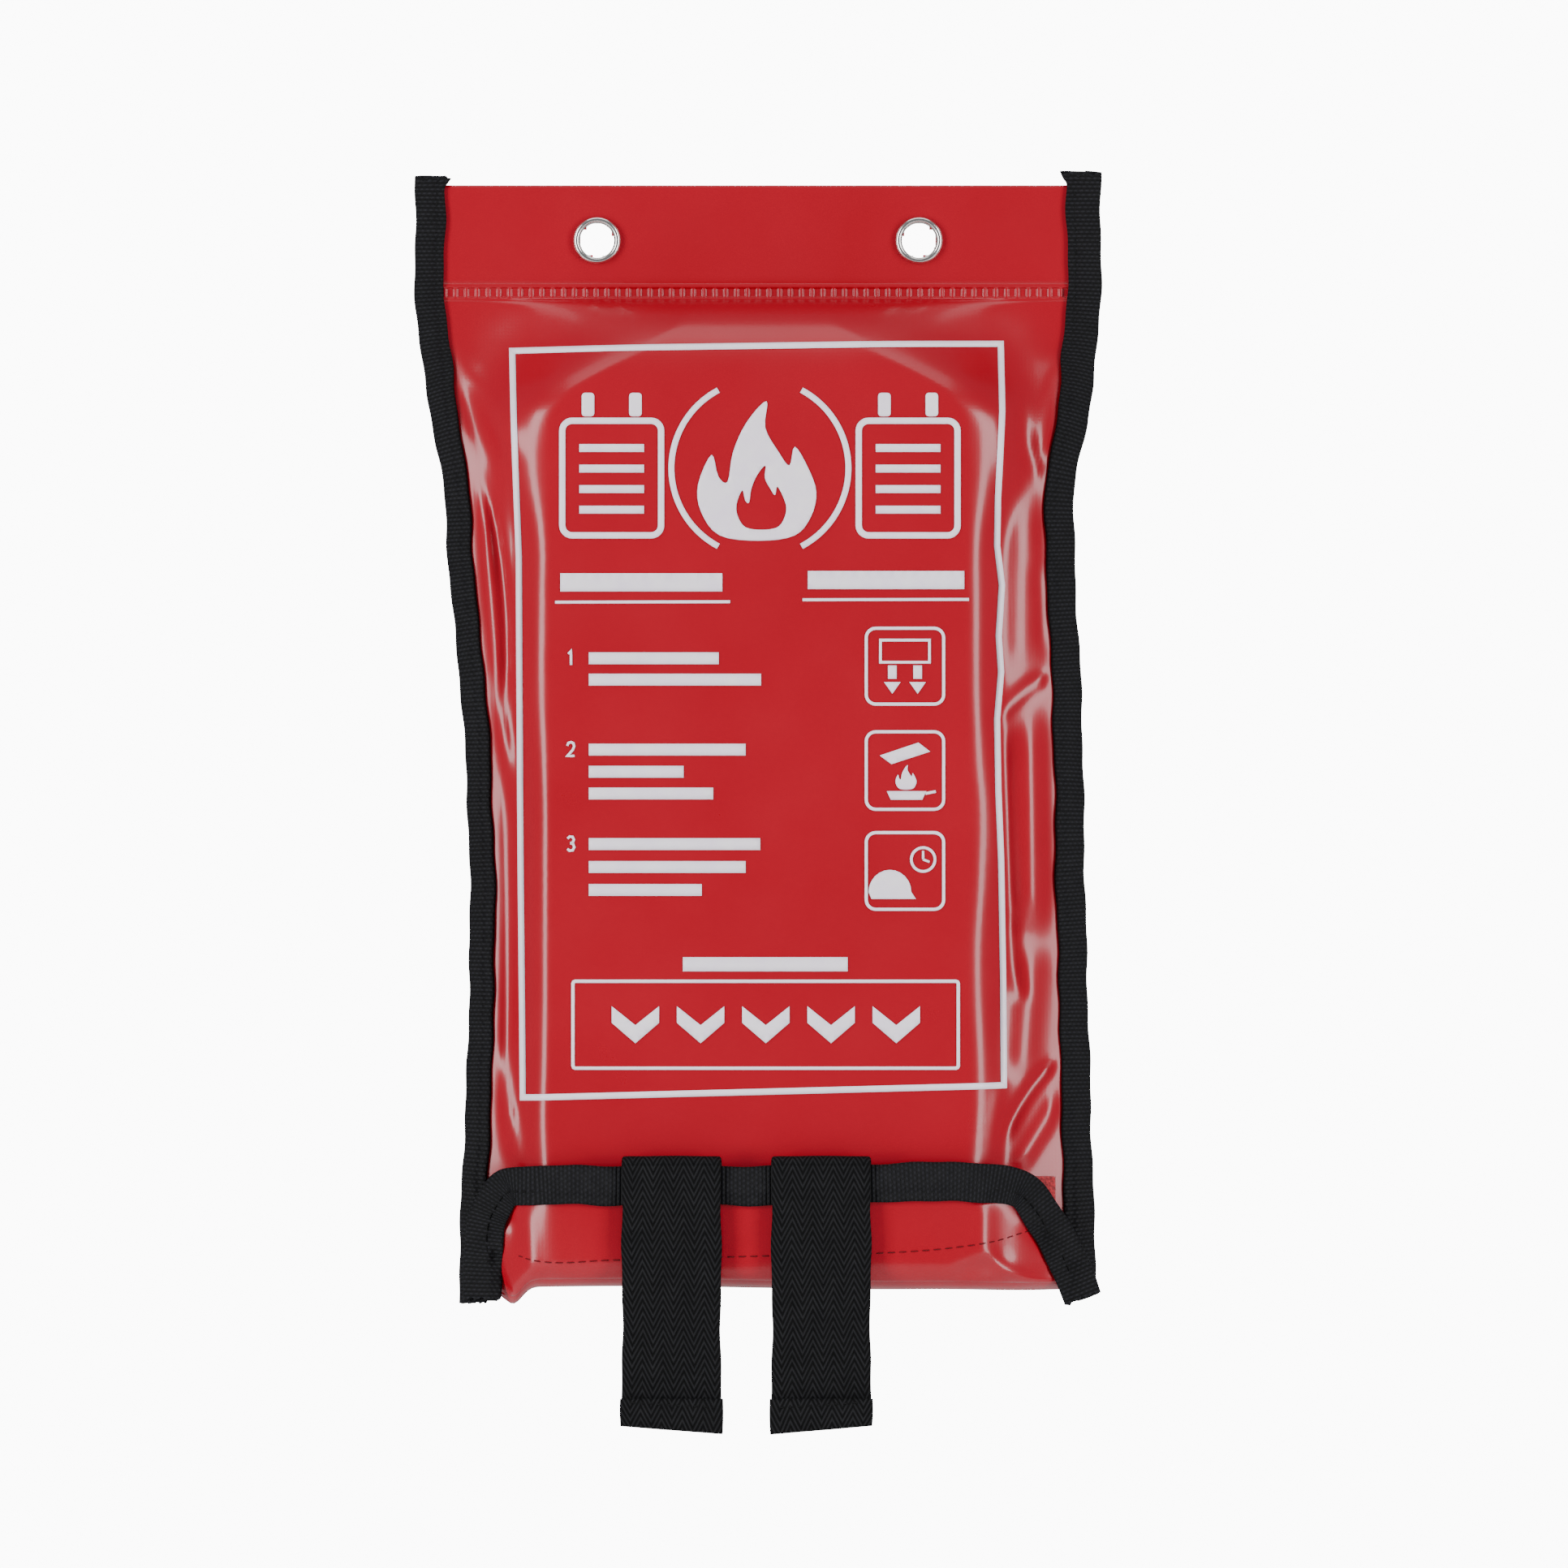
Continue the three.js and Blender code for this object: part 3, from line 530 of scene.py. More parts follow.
def glass_cloth():
    """Plain-woven glass fibre: pale, faintly yellow, with a silky glint."""
    look = Finish("glass_cloth", (0.78, 0.76, 0.69), 0.55, Sheen_Weight=0.4, Sheen_Roughness=0.3)
    across, along = look.cloth()
    pitch, half_turn = 1.1, np.pi
    over = look.maths("MULTIPLY", look.wave(across, pitch), look.wave(along, pitch))
    under = look.maths("MULTIPLY", look.wave(across, pitch, half_turn), look.wave(along, pitch, half_turn))
    weave = look.maths("ADD", over, under)
    look.bump(weave, 0.12)
    # The base colour mixes random lighter and darker patches of the cloth with the weave relief: yarn
    # crossings painted lighter and the gaps between them painted darker, as painted shade.
    patches_and_weave_shade = look.maths("MULTIPLY_ADD", look.noise(45.0, 4.0), 0.5, look.maths("MULTIPLY", weave, 0.7))
    look.tint(patches_and_weave_shade, (0.56, 0.54, 0.46), (0.84, 0.82, 0.76), 0.15, 0.75)
    look.wear(500.0, 0.42, 0.66)
    return look.material


def pile(name, colour, per_metre):
    """Hook or loop pile."""
    look = Finish(name, colour, 0.85, Sheen_Weight=0.5, Sheen_Roughness=0.5)
    tuft = look.noise(per_metre, 2.0)
    look.bump(tuft, 0.4)
    # The tufts are painted lighter at their tops and darker in the hollows between them, following the
    # relief: painted highlight and painted shade.
    look.tint(tuft, tuple(0.45 * c for c in colour), tuple(1.25 * c for c in colour), 0.35, 0.65)
    return look.material


PVC = red_pvc()
BINDING = woven_tape("black_binding", (0.0013, 0.0013, 0.0017), 1.05)
WEBBING = tab_webbing()
BLACK_THREAD = thread("black_thread", (0.0018, 0.0018, 0.0022))
RED_THREAD = thread("red_thread", (0.16, 0.004, 0.008))
INK = print_ink()
NICKEL = nickel_plate()
GLASS = glass_cloth()
LOOPS = pile("loop_pile", (0.42, 0.012, 0.02), 1500.0)
HOOKS = pile("hook_pile", (0.4, 0.01, 0.018), 2200.0)


# ---- pouch sheets ----
def panel_grid(step, low):
    """x and height over a panel, from one side edge to the other."""
    columns, rows = int(POUCH_WIDTH / step) + 1, int((POUCH_TOP - low) / step) + 1
    share, z = np.meshgrid(np.linspace(0, 1, columns), np.linspace(low, POUCH_TOP, rows))
    return lerp(EDGE_INSET - edge_of(-1, z), edge_of(1, z) - EDGE_INSET, share), z


def weld_relief(x, z):
    """The heat weld: a ladder of sunk squares between narrow ribs, with a faint bead above and below."""
    pitch = 2.75
    off = np.abs(z - WELD)
    bead = 0.22 * bell(off, WELD_HALF - 0.2, 0.28)
    cell = np.abs(((x / pitch) % 1.0) - 0.5) * 2
    square = ease((0.8 - cell) / 0.25) * ease((WELD_HALF - 0.45 - off) / 0.3)
    return bead - 0.42 * square


def panel_slack(x, z):
    """Slow unevenness of the front panel."""
    slow = 0.35 * noise_field(x, z, 34.0, 3.0) + 0.12 * noise_field(x, z, 11.0, 8.0)
    on_pack = ease((z - 6) / 20) * ease((WELD - 8 - z) / 20)
    header = 0.25 * noise_field(x, z, 40.0, 5.0) * ease((z - WELD - 3) / 6)
    return slow * on_pack + header


def eyelet_holes(x, z):
    """Which quads of a panel's grid lie inside an eyelet's barrel."""
    cx, cz = (x[:-1, :-1] + x[1:, 1:]) / 2, (z[:-1, :-1] + z[1:, 1:]) / 2
    return np.hypot(np.abs(cx) - EYELET_X, cz - EYELET_Z) < EYELET_RADIUS - 1.2


def front_panel():
    x, z = panel_grid(1.05, 6.0)
    under_weld = 1.1 * ease((WELD_HALF + 0.6 - np.abs(z - WELD)) / 0.8)
    depth = front_depth(x, z) + panel_slack(x, z) - under_weld
    inner = depth - SHEET + 0.8 * under_weld
    skin = cloth_sheet("front_panel_skin", x, z, depth, inner, PVC, eyelet_holes(x, z))
    fit(skin, "pouch", "front_panel")
    return skin


def weld_strip():
    """The welded band, which needs a finer mesh than the rest of the panel."""
    ends, reach = 2.2, WELD_HALF + 0.9
    across = np.linspace(ends - edge_of(-1, WELD), edge_of(1, WELD) - ends, 900)
    x, z = np.meshgrid(across, np.linspace(WELD - reach, WELD + reach, 26))
    tuck = 0.45 * ease((np.abs(z - WELD) - WELD_HALF - 0.35) / 0.55)
    depth = front_depth(x, z) + panel_slack(x, z) + weld_relief(x, z) - tuck
    fit(cloth_sheet("weld_band", x, z, depth, depth - 0.3, PVC), "pouch", "front_panel")


def back_panel():
    x, z = panel_grid(1.6, 0.1)
    slow = 0.25 * np.abs(noise_field(x, z, 30.0, 12.0)) * ease(z / 20) * ease((WELD - 8 - z) / 20)
    depth = back_depth(x, z) + slow
    skin = cloth_sheet("back_panel_skin", x, z, depth + SHEET, depth, PVC, eyelet_holes(x, z))
    fit(skin, "pouch", "back_panel")


# ---- bindings and stitching ----
TAPE_FOLD = 1.3  # radius of a binding's folded edge


def tape_section(width, held):
    """A tape folded over an edge: points (across from the fold, through), the tape's run at each, closed."""
    outer = held + TAPE
    leaf = np.linspace(width, TAPE_FOLD, 15)
    share = (leaf - TAPE_FOLD) / (width - TAPE_FOLD)
    crown = 0.5 * np.sin(share * np.pi) ** 0.7 - 0.3 * bell(leaf, width - 2.1, 0.6)
    front = [(a, outer + c) for a, c in zip(leaf, crown)]
    turn = [(TAPE_FOLD * (1 - np.sin(k)), outer * np.cos(k)) for k in np.linspace(0, np.pi, 9)[1:-1]]
    back = [(a, -outer - 0.6 * c) for a, c in zip(leaf[::-1], crown[::-1])]
    section = np.array(front + turn + back + [(width, -held), (1.0, -held), (1.0, held), (width, held)])
    return section, run_along(section)


def ragged(section):
    """How far each point of a tape's cut end frays, in millimetres."""
    return 0.5 * np.sin(section[:, 0] * 2.3) + 0.3 * np.sin(section[:, 0] * 5.9 + 1.0)


def frames_along(path, inward):
    """Unit tangent, inward and forward directions along a path in the frame's metres."""
    tangent = unit(np.gradient(path, axis=0))
    inward = unit(inward - tangent * np.sum(inward * tangent, axis=-1, keepdims=True))
    forward = np.cross(inward, tangent)
    forward *= np.where(forward[:, 1:2] > 0, -1.0, 1.0)
    return tangent, inward, forward


def binding(name, path, inward, width, held):
    """Folded tape along a sheet's edge. Its cut ends are slightly ragged."""
    section, run = tape_section(width, held)
    tangent, inward, forward = frames_along(path, inward)
    length = run_along(path) / MM
    wave = 1 + 0.018 * np.sin(length / 7.3) + 0.012 * np.sin(length / 3.1)
    wave = wave + 0.22 * bell(length, length[-1], 1.6)
    shift = 0.2 * np.sin(length / 5.3) + 0.14 * np.sin(length / 2.1 + 1.0)
    across = section[None, :, :1] * wave[:, None, None] + shift[:, None, None]
    rings = path[:, None] + (inward[:, None] * across + forward[:, None] * section[None, :, 1:]) * MM
    frayed = ragged(section)[:, None] * MM
    rings[0] -= tangent[0] * frayed
    rings[-1] += tangent[-1] * frayed
    return swept_piece(name, rings, BINDING, run, length)


def stitches(name, path, out, material, pitch=2.9, gap=0.75, radius=THREAD_RADIUS):
    """Separate stitches along a path in the frame's metres. out points out of the cloth."""
    lengths = run_along(path) / MM
    out = np.broadcast_to(out, path.shape)
    around, rings = 8, 7
    angle = np.linspace(0, 2 * np.pi, around, endpoint=False)
    share = np.linspace(-1, 1, rings)
    size = (radius * np.sqrt(np.clip(1.02 - share**6, 0.02, 1)) * MM)[:, None, None]
    dip = ((0.12 - 0.35 * share**4) * MM)[:, None, None]
    points, faces, uvs = [], [], []
    for k in range(int(lengths[-1] / pitch)):
        spots = k * pitch + gap / 2 + np.linspace(0, pitch - gap, rings)
        centre, lift = (np.stack([np.interp(spots, lengths, v) for v in line.T], -1) for line in (path, out))
        lift = unit(lift)[:, None]
        aside = unit(np.cross(unit(np.gradient(centre, axis=0)), lift[:, 0]))[:, None]
        turn = aside * np.cos(angle)[None, :, None] + lift * 0.8 * np.sin(angle)[None, :, None]
        start = len(points)
        points.extend((centre[:, None] + lift * dip + turn * size).reshape(-1, 3))
        faces.extend(grid_faces(around, rings, start, wrap=True))
        faces.append(tuple(range(start + around - 1, start - 1, -1)))
        faces.append(tuple(range(start + (rings - 1) * around, start + rings * around)))
        uvs.extend((a * radius, b) for b in spots for a in angle)
    piece = mesh_piece(name, points, faces, material, np.array(uvs))
    outward(piece)
    return piece


def side_path(side, low, high, across=0.0):
    """A line down a side seam, a distance in from the binding's outer edge, with its inward direction."""
    z = np.linspace(low, high, int((high - low) / 1.1))
    level = np.clip(z, 0, POUCH_TOP)
    lean = seam_lean(level)
    x = side * edge_of(side, level)
    depth = seam_depth(side, level)
    path = at(x - side * across, depth + lean * across, z)
    inward = np.stack([np.full_like(z, -side), -lean, 0 * z], axis=-1)
    return path, inward


HELD = SHEET + SEAM_GAP + 0.05  # half of what a side binding is folded over


def side_bindings():
    for side, label, low, high, trim in (
        (-1, "left", -4.0, POUCH_TOP + 2.0, 1.4),
        (1, "right", -1.5, POUCH_TOP + 3.0, 0.3),
    ):
        path, inward = side_path(side, low, high)
        width = BINDING_WIDTH - trim
        tape = binding(f"{label}_edge_binding", path, inward, width, HELD)
        fit(tape, "pouch", f"{label}_side_binding")
        row, inward = side_path(side, low + 3, high - 2, width - 2.0)
        forward = frames_along(row, inward)[2]
        sewn = stitches(f"{label}_edge_stitches", row + forward * (HELD + TAPE) * MM, forward, BLACK_THREAD)
        fit(sewn, "pouch", f"{label}_side_stitching")


# ---- eyelets ----
def lathe_piece(name, section, x, material):
    """A closed section of (radius, depth) points turned about an eyelet's axis."""
    segments = 64
    section = np.array(section)
    angle = np.linspace(0, 2 * np.pi, segments, endpoint=False)
    radius, depth = section[:, 0][:, None], section[:, 1][:, None]
    rings = at(x + radius * np.cos(angle), depth + 0 * angle, EYELET_Z + radius * np.sin(angle))
    closed = np.concatenate([rings, rings[:1]])
    count = len(section) * segments
    faces = [tuple(i % count for i in f) for f in grid_faces(segments, len(closed), wrap=True)]
    piece = mesh_piece(name, rings.reshape(-1, 3), faces, material)
    outward(piece)
    return piece


def eyelets():
    bore, lip = EYELET_RADIUS - 1.6, EYELET_RADIUS
    middle, roll = (bore + lip) / 2, (lip - bore) / 2
    for side, label in ((-1, "left"), (1, "right")):
        x = side * EYELET_X
        face = float(front_depth(np.array([x]), np.array([EYELET_Z]))[0])
        half_turn = np.linspace(0, np.pi, 17)
        rim = list(zip(middle + roll * np.cos(half_turn), face + 0.1 + 1.25 * np.sin(half_turn) ** 0.8))
        rim += [(bore - 0.02, face - 0.5), (bore, 0.9), (bore + 0.15, 0.45), (bore + 0.6, 0.2)]
        rim += [(bore + 1.2, 0.3), (bore + 1.35, 0.6), (bore + 0.5, 0.75), (bore + 0.45, face)]
        fit(lathe_piece(f"{label}_eyelet_barrel", rim, x, NICKEL), "pouch", f"{label}_eyelet")
        inner, outer = bore + 0.65, lip + 0.3
        ring = [(inner, 1.4), (outer - 0.1, 1.4), (outer, 1.3), (outer, 1.05), (outer - 0.25, 0.8)]
        ring += [(middle + 0.3, 0.62), (inner, 0.8)]
        fit(lathe_piece(f"{label}_eyelet_backing", ring, x, NICKEL), "pouch", f"{label}_eyelet_washer")


# ---- bottom flap ----
FLAP_FACE = FLAP_BACK + SHEET
BEND_RADIUS = 8.0
BEND_JOIN = np.radians(42)  # where the flap takes over from the gusset, up the bend
# The flap's outline, as (x, height), and how far its face stands from the wall, as (x, depth).
FLAP_EDGE = [(-75.0, -3.0), (-74.6, 10.0), (-72.0, 22.0), (-65.5, 30.0), (-56.0, FLAP_TOP - 0.2)]
FLAP_EDGE += [(-30.0, FLAP_TOP), (0.0, FLAP_TOP), (30.0, FLAP_TOP + 0.4), (52.0, FLAP_TOP + 1.0)]
FLAP_EDGE += [(61.0, FLAP_TOP + 0.2), (69.0, 29.0), (76.0, 21.5), (82.0, 11.0), (87.0, -1.0)]
FLAP_FALL = [(-76, 17.0), (-70, 20.0), (-63, 27.0), (-55, 34.2), (-46, FLAP_FACE - 0.2)]
FLAP_FALL += [(x, FLAP_FACE) for x in (-38, 0, 38, 46)] + [(56, 35.4), (65, 30.8), (75, 23.0), (87, 17.0)]
# Folds in the flap and the gusset, as in FOLDS.
FLAP_FOLDS = [
    ((-72, 4), (-62, 20), 0.0, 2.0, 1.4),
    ((-68, 12), (-60, -6), 0.0, 1.6, -1.8),
    ((-66, 2), (-62, -8), 0.0, 1.5, 1.6),
    ((-59, 24), (-57, -2), 0.0, 2.4, 0.9),
    ((-56, 4), (-46, -3), 0.0, 2.0, -0.6),
    ((57, 24), (57, 4), 0.0, 3.0, 1.2),
    ((48, 2), (66, 8), 1.5, 2.6, -0.9),
    ((56, 12), (82, 4), -5.0, 1.8, 1.4),
    ((66, 18), (84, 0), 1.0, 2.2, -1.2),
    ((62, 26), (72, 14), 0.0, 2.2, 0.8),
    ((-36, 4), (40, 2), 0.0, 2.4, 0.5),
]


# The stitched row low on the flap: (x, height).
CLOSURE_ROW = [(-61, 8.2), (-58, 7.4), (-36, 7.3), (0, 8.3), (30, 9.0), (50, 10.5), (60, 12.0), (71, 14.6)]


def flap_edge(share):
    """x and height on the flap's outer edge at a share of its length, from bottom left to bottom right."""
    keys = np.array(FLAP_EDGE)
    run = run_along(keys) / run_along(keys)[-1]
    return tuple(through(np.stack([run, keys[:, k]], -1), share) for k in (0, 1))


def flap_depth(x, z):
    """Depth of the flap's outer face: flat over the pack, falling back to the seams at both corners."""
    face = through(FLAP_FALL, x)
    low = np.clip(BEND_RADIUS - z, 0, BEND_RADIUS * 0.995)
    bend = BEND_RADIUS - np.sqrt(BEND_RADIUS**2 - low**2)
    folds = sum(ridge(x, z, *fold) for fold in FLAP_FOLDS)
    ripple = 0.25 * np.sin(x / 6.1 + 0.4) * bell(z, 8, 7)
    return face - bend + folds + ripple + 0.3 * np.sin(x / 13.0) * ease(z / 12)


def fold_height(x):
    """Height of the pouch's lowest line, which dips to a crumpled tip near the left corner."""
    tip = -4.2 * bell(x, -62, 3.2) - 1.6 * bell(x, -68, 4.0)
    return tip - 1.0 * ease((x - 40) / 40) - 0.4 * np.sin(x / 21.0)


def flap_skin():
    u, v = np.meshgrid(np.linspace(0, 1, 190), np.linspace(0, 1, 46))
    edge_x, edge_z = flap_edge(lerp(0.05, 0.95, u))
    edge_x, edge_z = edge_x * 0.983, edge_z - 1.0
    foot_x = lerp(-70.5, 81.0, ease(u) * 0.25 + u * 0.75)
    join = BEND_RADIUS * (1 - np.cos(BEND_JOIN))
    x = lerp(foot_x, edge_x, v**1.4)
    z = lerp(join + fold_height(foot_x), np.maximum(edge_z, join + 1.5), v)
    depth = flap_depth(x, z - fold_height(x) * (1 - v))
    fit(cloth_sheet("flap_skin", x, z, depth, depth - SHEET, PVC), "flap", "bottom_flap")


def gusset_skin():
    """The pouch's underside: from the back sheet's foot, forward under the pack and into the bend."""
    x, v = np.meshgrid(np.linspace(-70.8, 81.3, 170), np.linspace(0, 1, 40))
    level = 0.55  # share of the run that lies level
    bent = (v - level) / (1 - level)
    turn = ease(bent) * 0.3 + np.clip(bent, 0, 1) * 0.7
    angle = turn * (BEND_JOIN + np.radians(4))
    behind, ahead = back_depth(x, np.ones_like(x)) + 0.2, through(FLAP_FALL, x) - BEND_RADIUS
    forward = lerp(behind, ahead, np.clip(v / level, 0, 1))
    folds = sum(ridge(x, 2 + 0 * x, *fold) for fold in FLAP_FOLDS) * turn
    depth = forward + BEND_RADIUS * np.sin(angle) + folds - 0.15
    z = BEND_RADIUS * (1 - np.cos(angle)) + fold_height(x) * ease(v / 0.5) + 0.05
    uv = np.stack([x, 60 * v], -1)
    piece = sheet_piece("gusset_skin", at(x, depth, z), at(x, depth - 0.2 * v, z + SHEET), PVC, uv)
    outward(piece)
    fit(piece, "pouch", "bottom_gusset")


def flap_line(low, high, across):
    """A line along the flap's edge, a distance inside it, with its inward direction."""
    x, z = flap_edge(np.linspace(low, high, 260))
    dx, dz = np.gradient(x), np.gradient(z)
    length = np.hypot(dx, dz)

    def inside(distance):
        px, pz = x + dz / length * distance, z - dx / length * distance
        return at(px, flap_depth(px, pz) - SHEET / 2, pz)

    return inside(across), inside(across + 0.5) - inside(across)


def flap_tape(name, width, held):
    """Folded tape round the flap's edge, lying on the flap's curved faces, with slightly ragged cut ends."""
    section, run = tape_section(width, held)
    outline = np.stack(flap_edge(np.linspace(0.0, 1.0, 280)), -1)
    length = run_along(outline)
    tangent = unit(np.gradient(outline, axis=0))[:, None]
    wave = 1 + 0.02 * np.sin(length / 7.3) + 0.012 * np.sin(length / 3.1)
    shift = 0.16 * np.sin(length / 4.7) + 0.1 * np.sin(length / 1.9)
    across = section[None, :, 0] * wave[:, None] + shift[:, None]
    push = np.zeros_like(across)
    push[0], push[-1] = -ragged(section), ragged(section)
    px = outline[:, :1] + tangent[..., 1] * across + tangent[..., 0] * push
    pz = outline[:, 1:] - tangent[..., 0] * across + tangent[..., 1] * push
    corner = ease((np.abs(px) - 60) / 8)
    lowest = np.where(section[None, :, 1] > 0, 5.5, 2.0)
    depth = flap_depth(px, np.maximum(pz, lowest * corner)) - SHEET / 2 + section[None, :, 1]
    return swept_piece(name, at(px, depth, pz), BINDING, run, length)


def flap_trim():
    held = SHEET / 2 + 0.12
    fit(flap_tape("flap_edge_binding", 9.8, held), "flap", "flap_binding")
    row, inward = flap_line(0.02, 0.98, 6.4)
    forward = frames_along(row, inward)[2]
    sewn = stitches("flap_edge_stitches", row + forward * (held + TAPE + 0.1) * MM, forward, BLACK_THREAD)
    fit(sewn, "flap", "flap_binding_stitching")
    x = np.linspace(-61, 71, 300)
    z = through(CLOSURE_ROW, x)
    row = at(x, flap_depth(x, z) + 0.04, z)
    sewn = stitches("closure_stitches", row, AHEAD, RED_THREAD, radius=0.15, gap=0.6)
    fit(sewn, "flap", "hook_tape_stitching")


# ---- hook and loop closure ----
def pile_strip(name, x, z, depth, thickness, material, seed):
    """A closure tape with small tufts on its front, or on its back for a negative thickness."""
    outer = depth + np.sign(thickness) * 0.35 * np.abs(noise_field(x, z, 0.9, seed))
    front, back = (outer, depth - thickness)[:: int(np.sign(thickness))]
    return cloth_sheet(name, x, z, front, back, material)


def closure():
    x, z = np.meshgrid(np.linspace(-66, 75.5, 240), np.linspace(*extent("loop_tape", "height"), 36))
    loops = pile_strip("loop_strip", x, z, front_depth(x, z) + 0.9, 0.85, LOOPS, 21.0)
    fit(loops, "pouch", "loop_tape")
    across = np.linspace(-extent("hook_tape", "x")[1], extent("hook_tape", "x")[1], 170)
    x, z = np.meshgrid(across, np.linspace(extent("hook_tape", "height")[0], FLAP_TOP - 10.4, 26))
    hooks = pile_strip("hook_strip", x, z, flap_depth(x, z) - SHEET - 0.95, -0.85, HOOKS, 22.0)
    fit(hooks, "flap", "hook_tape")


# ---- folded blanket ----
def folded_blanket():
    """The cloth's ten layers, zigzagging from back to front, each with rounded folds and slack of its own."""
    bottom, top = extent("folded_blanket", "height")
    back, front = extent("folded_blanket", "depth")
    half = extent("folded_blanket", "x")[1]
    layers = 10
    pitch = (front - back) / layers
    path = []
    for k in range(layers):
        side = 1 if k % 2 == 0 else -1
        reach = half - pitch - 0.8 * ((k * 7) % 3)
        path += [(a, back + pitch * (k + 0.5)) for a in side * np.linspace(-reach, reach, 26)]
        if k < layers - 1:
            bend = np.linspace(-np.pi / 2, np.pi / 2, 7)[1:-1]
            out, up = 0.5 * np.cos(bend), 0.5 * np.sin(bend)
            path += zip(side * (reach + pitch * out), back + pitch * (k + 1 + up))
    path = np.array(path)
    tangent = unit(np.gradient(path, axis=0))
    normal = np.stack([-tangent[:, 1], tangent[:, 0]], -1) * 0.36 * pitch
    outline = np.concatenate([path + normal, (path - normal)[::-1]])
    x, depth = outline.T
    outward_share, forward_share = np.abs(x) / half, (depth - back) / (front - back)
    rings = []
    heights = np.linspace(bottom, top, 46)
    for z in heights:
        pinch = 0.0042 * (1 - ease(min(z - bottom, top - z) / 5))
        shrink = (1 - (0.055 * forward_share + 0.01) * outward_share**6) * (1 - pinch)
        wave = 0.25 * np.sin(z / 19.0 + depth) * outward_share**4
        crease = 0.3 * np.sin(x / 17.0 + z / 26.0) * np.sin(z / 33.0)
        crease = crease - bell(z, 77, 2.2) - bell(z, 150, 2.2)
        taper = 1.0 - 0.55 * ease((z - 185) / (top - 185))
        lean = back + (depth - back) * taper + crease * forward_share
        slack = 3.5 * outward_share**8 * (1 - 2 * forward_share)
        rings.append(at(x * shrink + wave, lean + slack, z))
    piece = swept_piece("blanket_folds", np.array(rings), GLASS, run_along(outline), heights)
    fit(piece, "blanket", "folded_blanket")


# ---- pull tabs ----
def ribbon(name, profile, span, slant=0.0, laid=0.0):
    """A flat tape over a side profile of (depth, height) points on its outer face.

    The outside is to the right of travel. slant is how far the start's left end lies above its right end.
    laid is how much of the same tape has already run, so that its weave carries on.
    """
    profile = np.array(profile, float)
    tangent = unit(np.gradient(profile, axis=0))
    run = run_along(profile)
    thick = TAB_THICKNESS
    face = [(u, 0.06 * np.sin(u * 9)) for u in np.linspace(0, 1, 15)[1:-1]]
    back = [(u, thick) for u in np.linspace(0.9, 0.1, 9)]
    section = [(0.012, 0.12), *face, (0.988, 0.12), (1.0, thick / 2), (0.988, thick)]
    section += [*back, (0.012, thick), (0.0, thick / 2)]
    across, below = np.array(section).T
    left, right = span
    wave = 0.16 * np.sin((run + laid) / 5.7) + 0.1 * np.sin((run + laid) / 2.3)
    x = lerp(left, right, across) + wave[:, None] * (2 * across - 1)
    drop = slant * (across - 0.5) * (1 - run / run[-1])[:, None]
    rings = at(x, profile[:, :1] - tangent[:, 1:] * below, profile[:, 1:] + tangent[:, :1] * below - drop)
    piece = swept_piece(name, rings, WEBBING, across * (right - left), run + laid)
    return piece


def arc_points(centre, radius, start, end, count, flatten=1.0):
    """Points on an arc: angle 0 is straight down, a quarter turn straight ahead of the wall."""
    depth, height = centre
    turns = np.linspace(start, end, count)
    return [(depth + radius * np.sin(a), height - flatten * radius * np.cos(a)) for a in turns]


def pouch_point(depth, height=0.0):
    """A point in the frame over the middle of the pouch."""
    return tuple(at(0.0, depth, height))


def joint_place(name):
    """Depth and height of a joint's axis."""
    spot = next(j["pos_m"] for j in frame["joints"] if j["name"] == name)
    return -spot[1] / MM, (spot[2] - FOLD) / MM


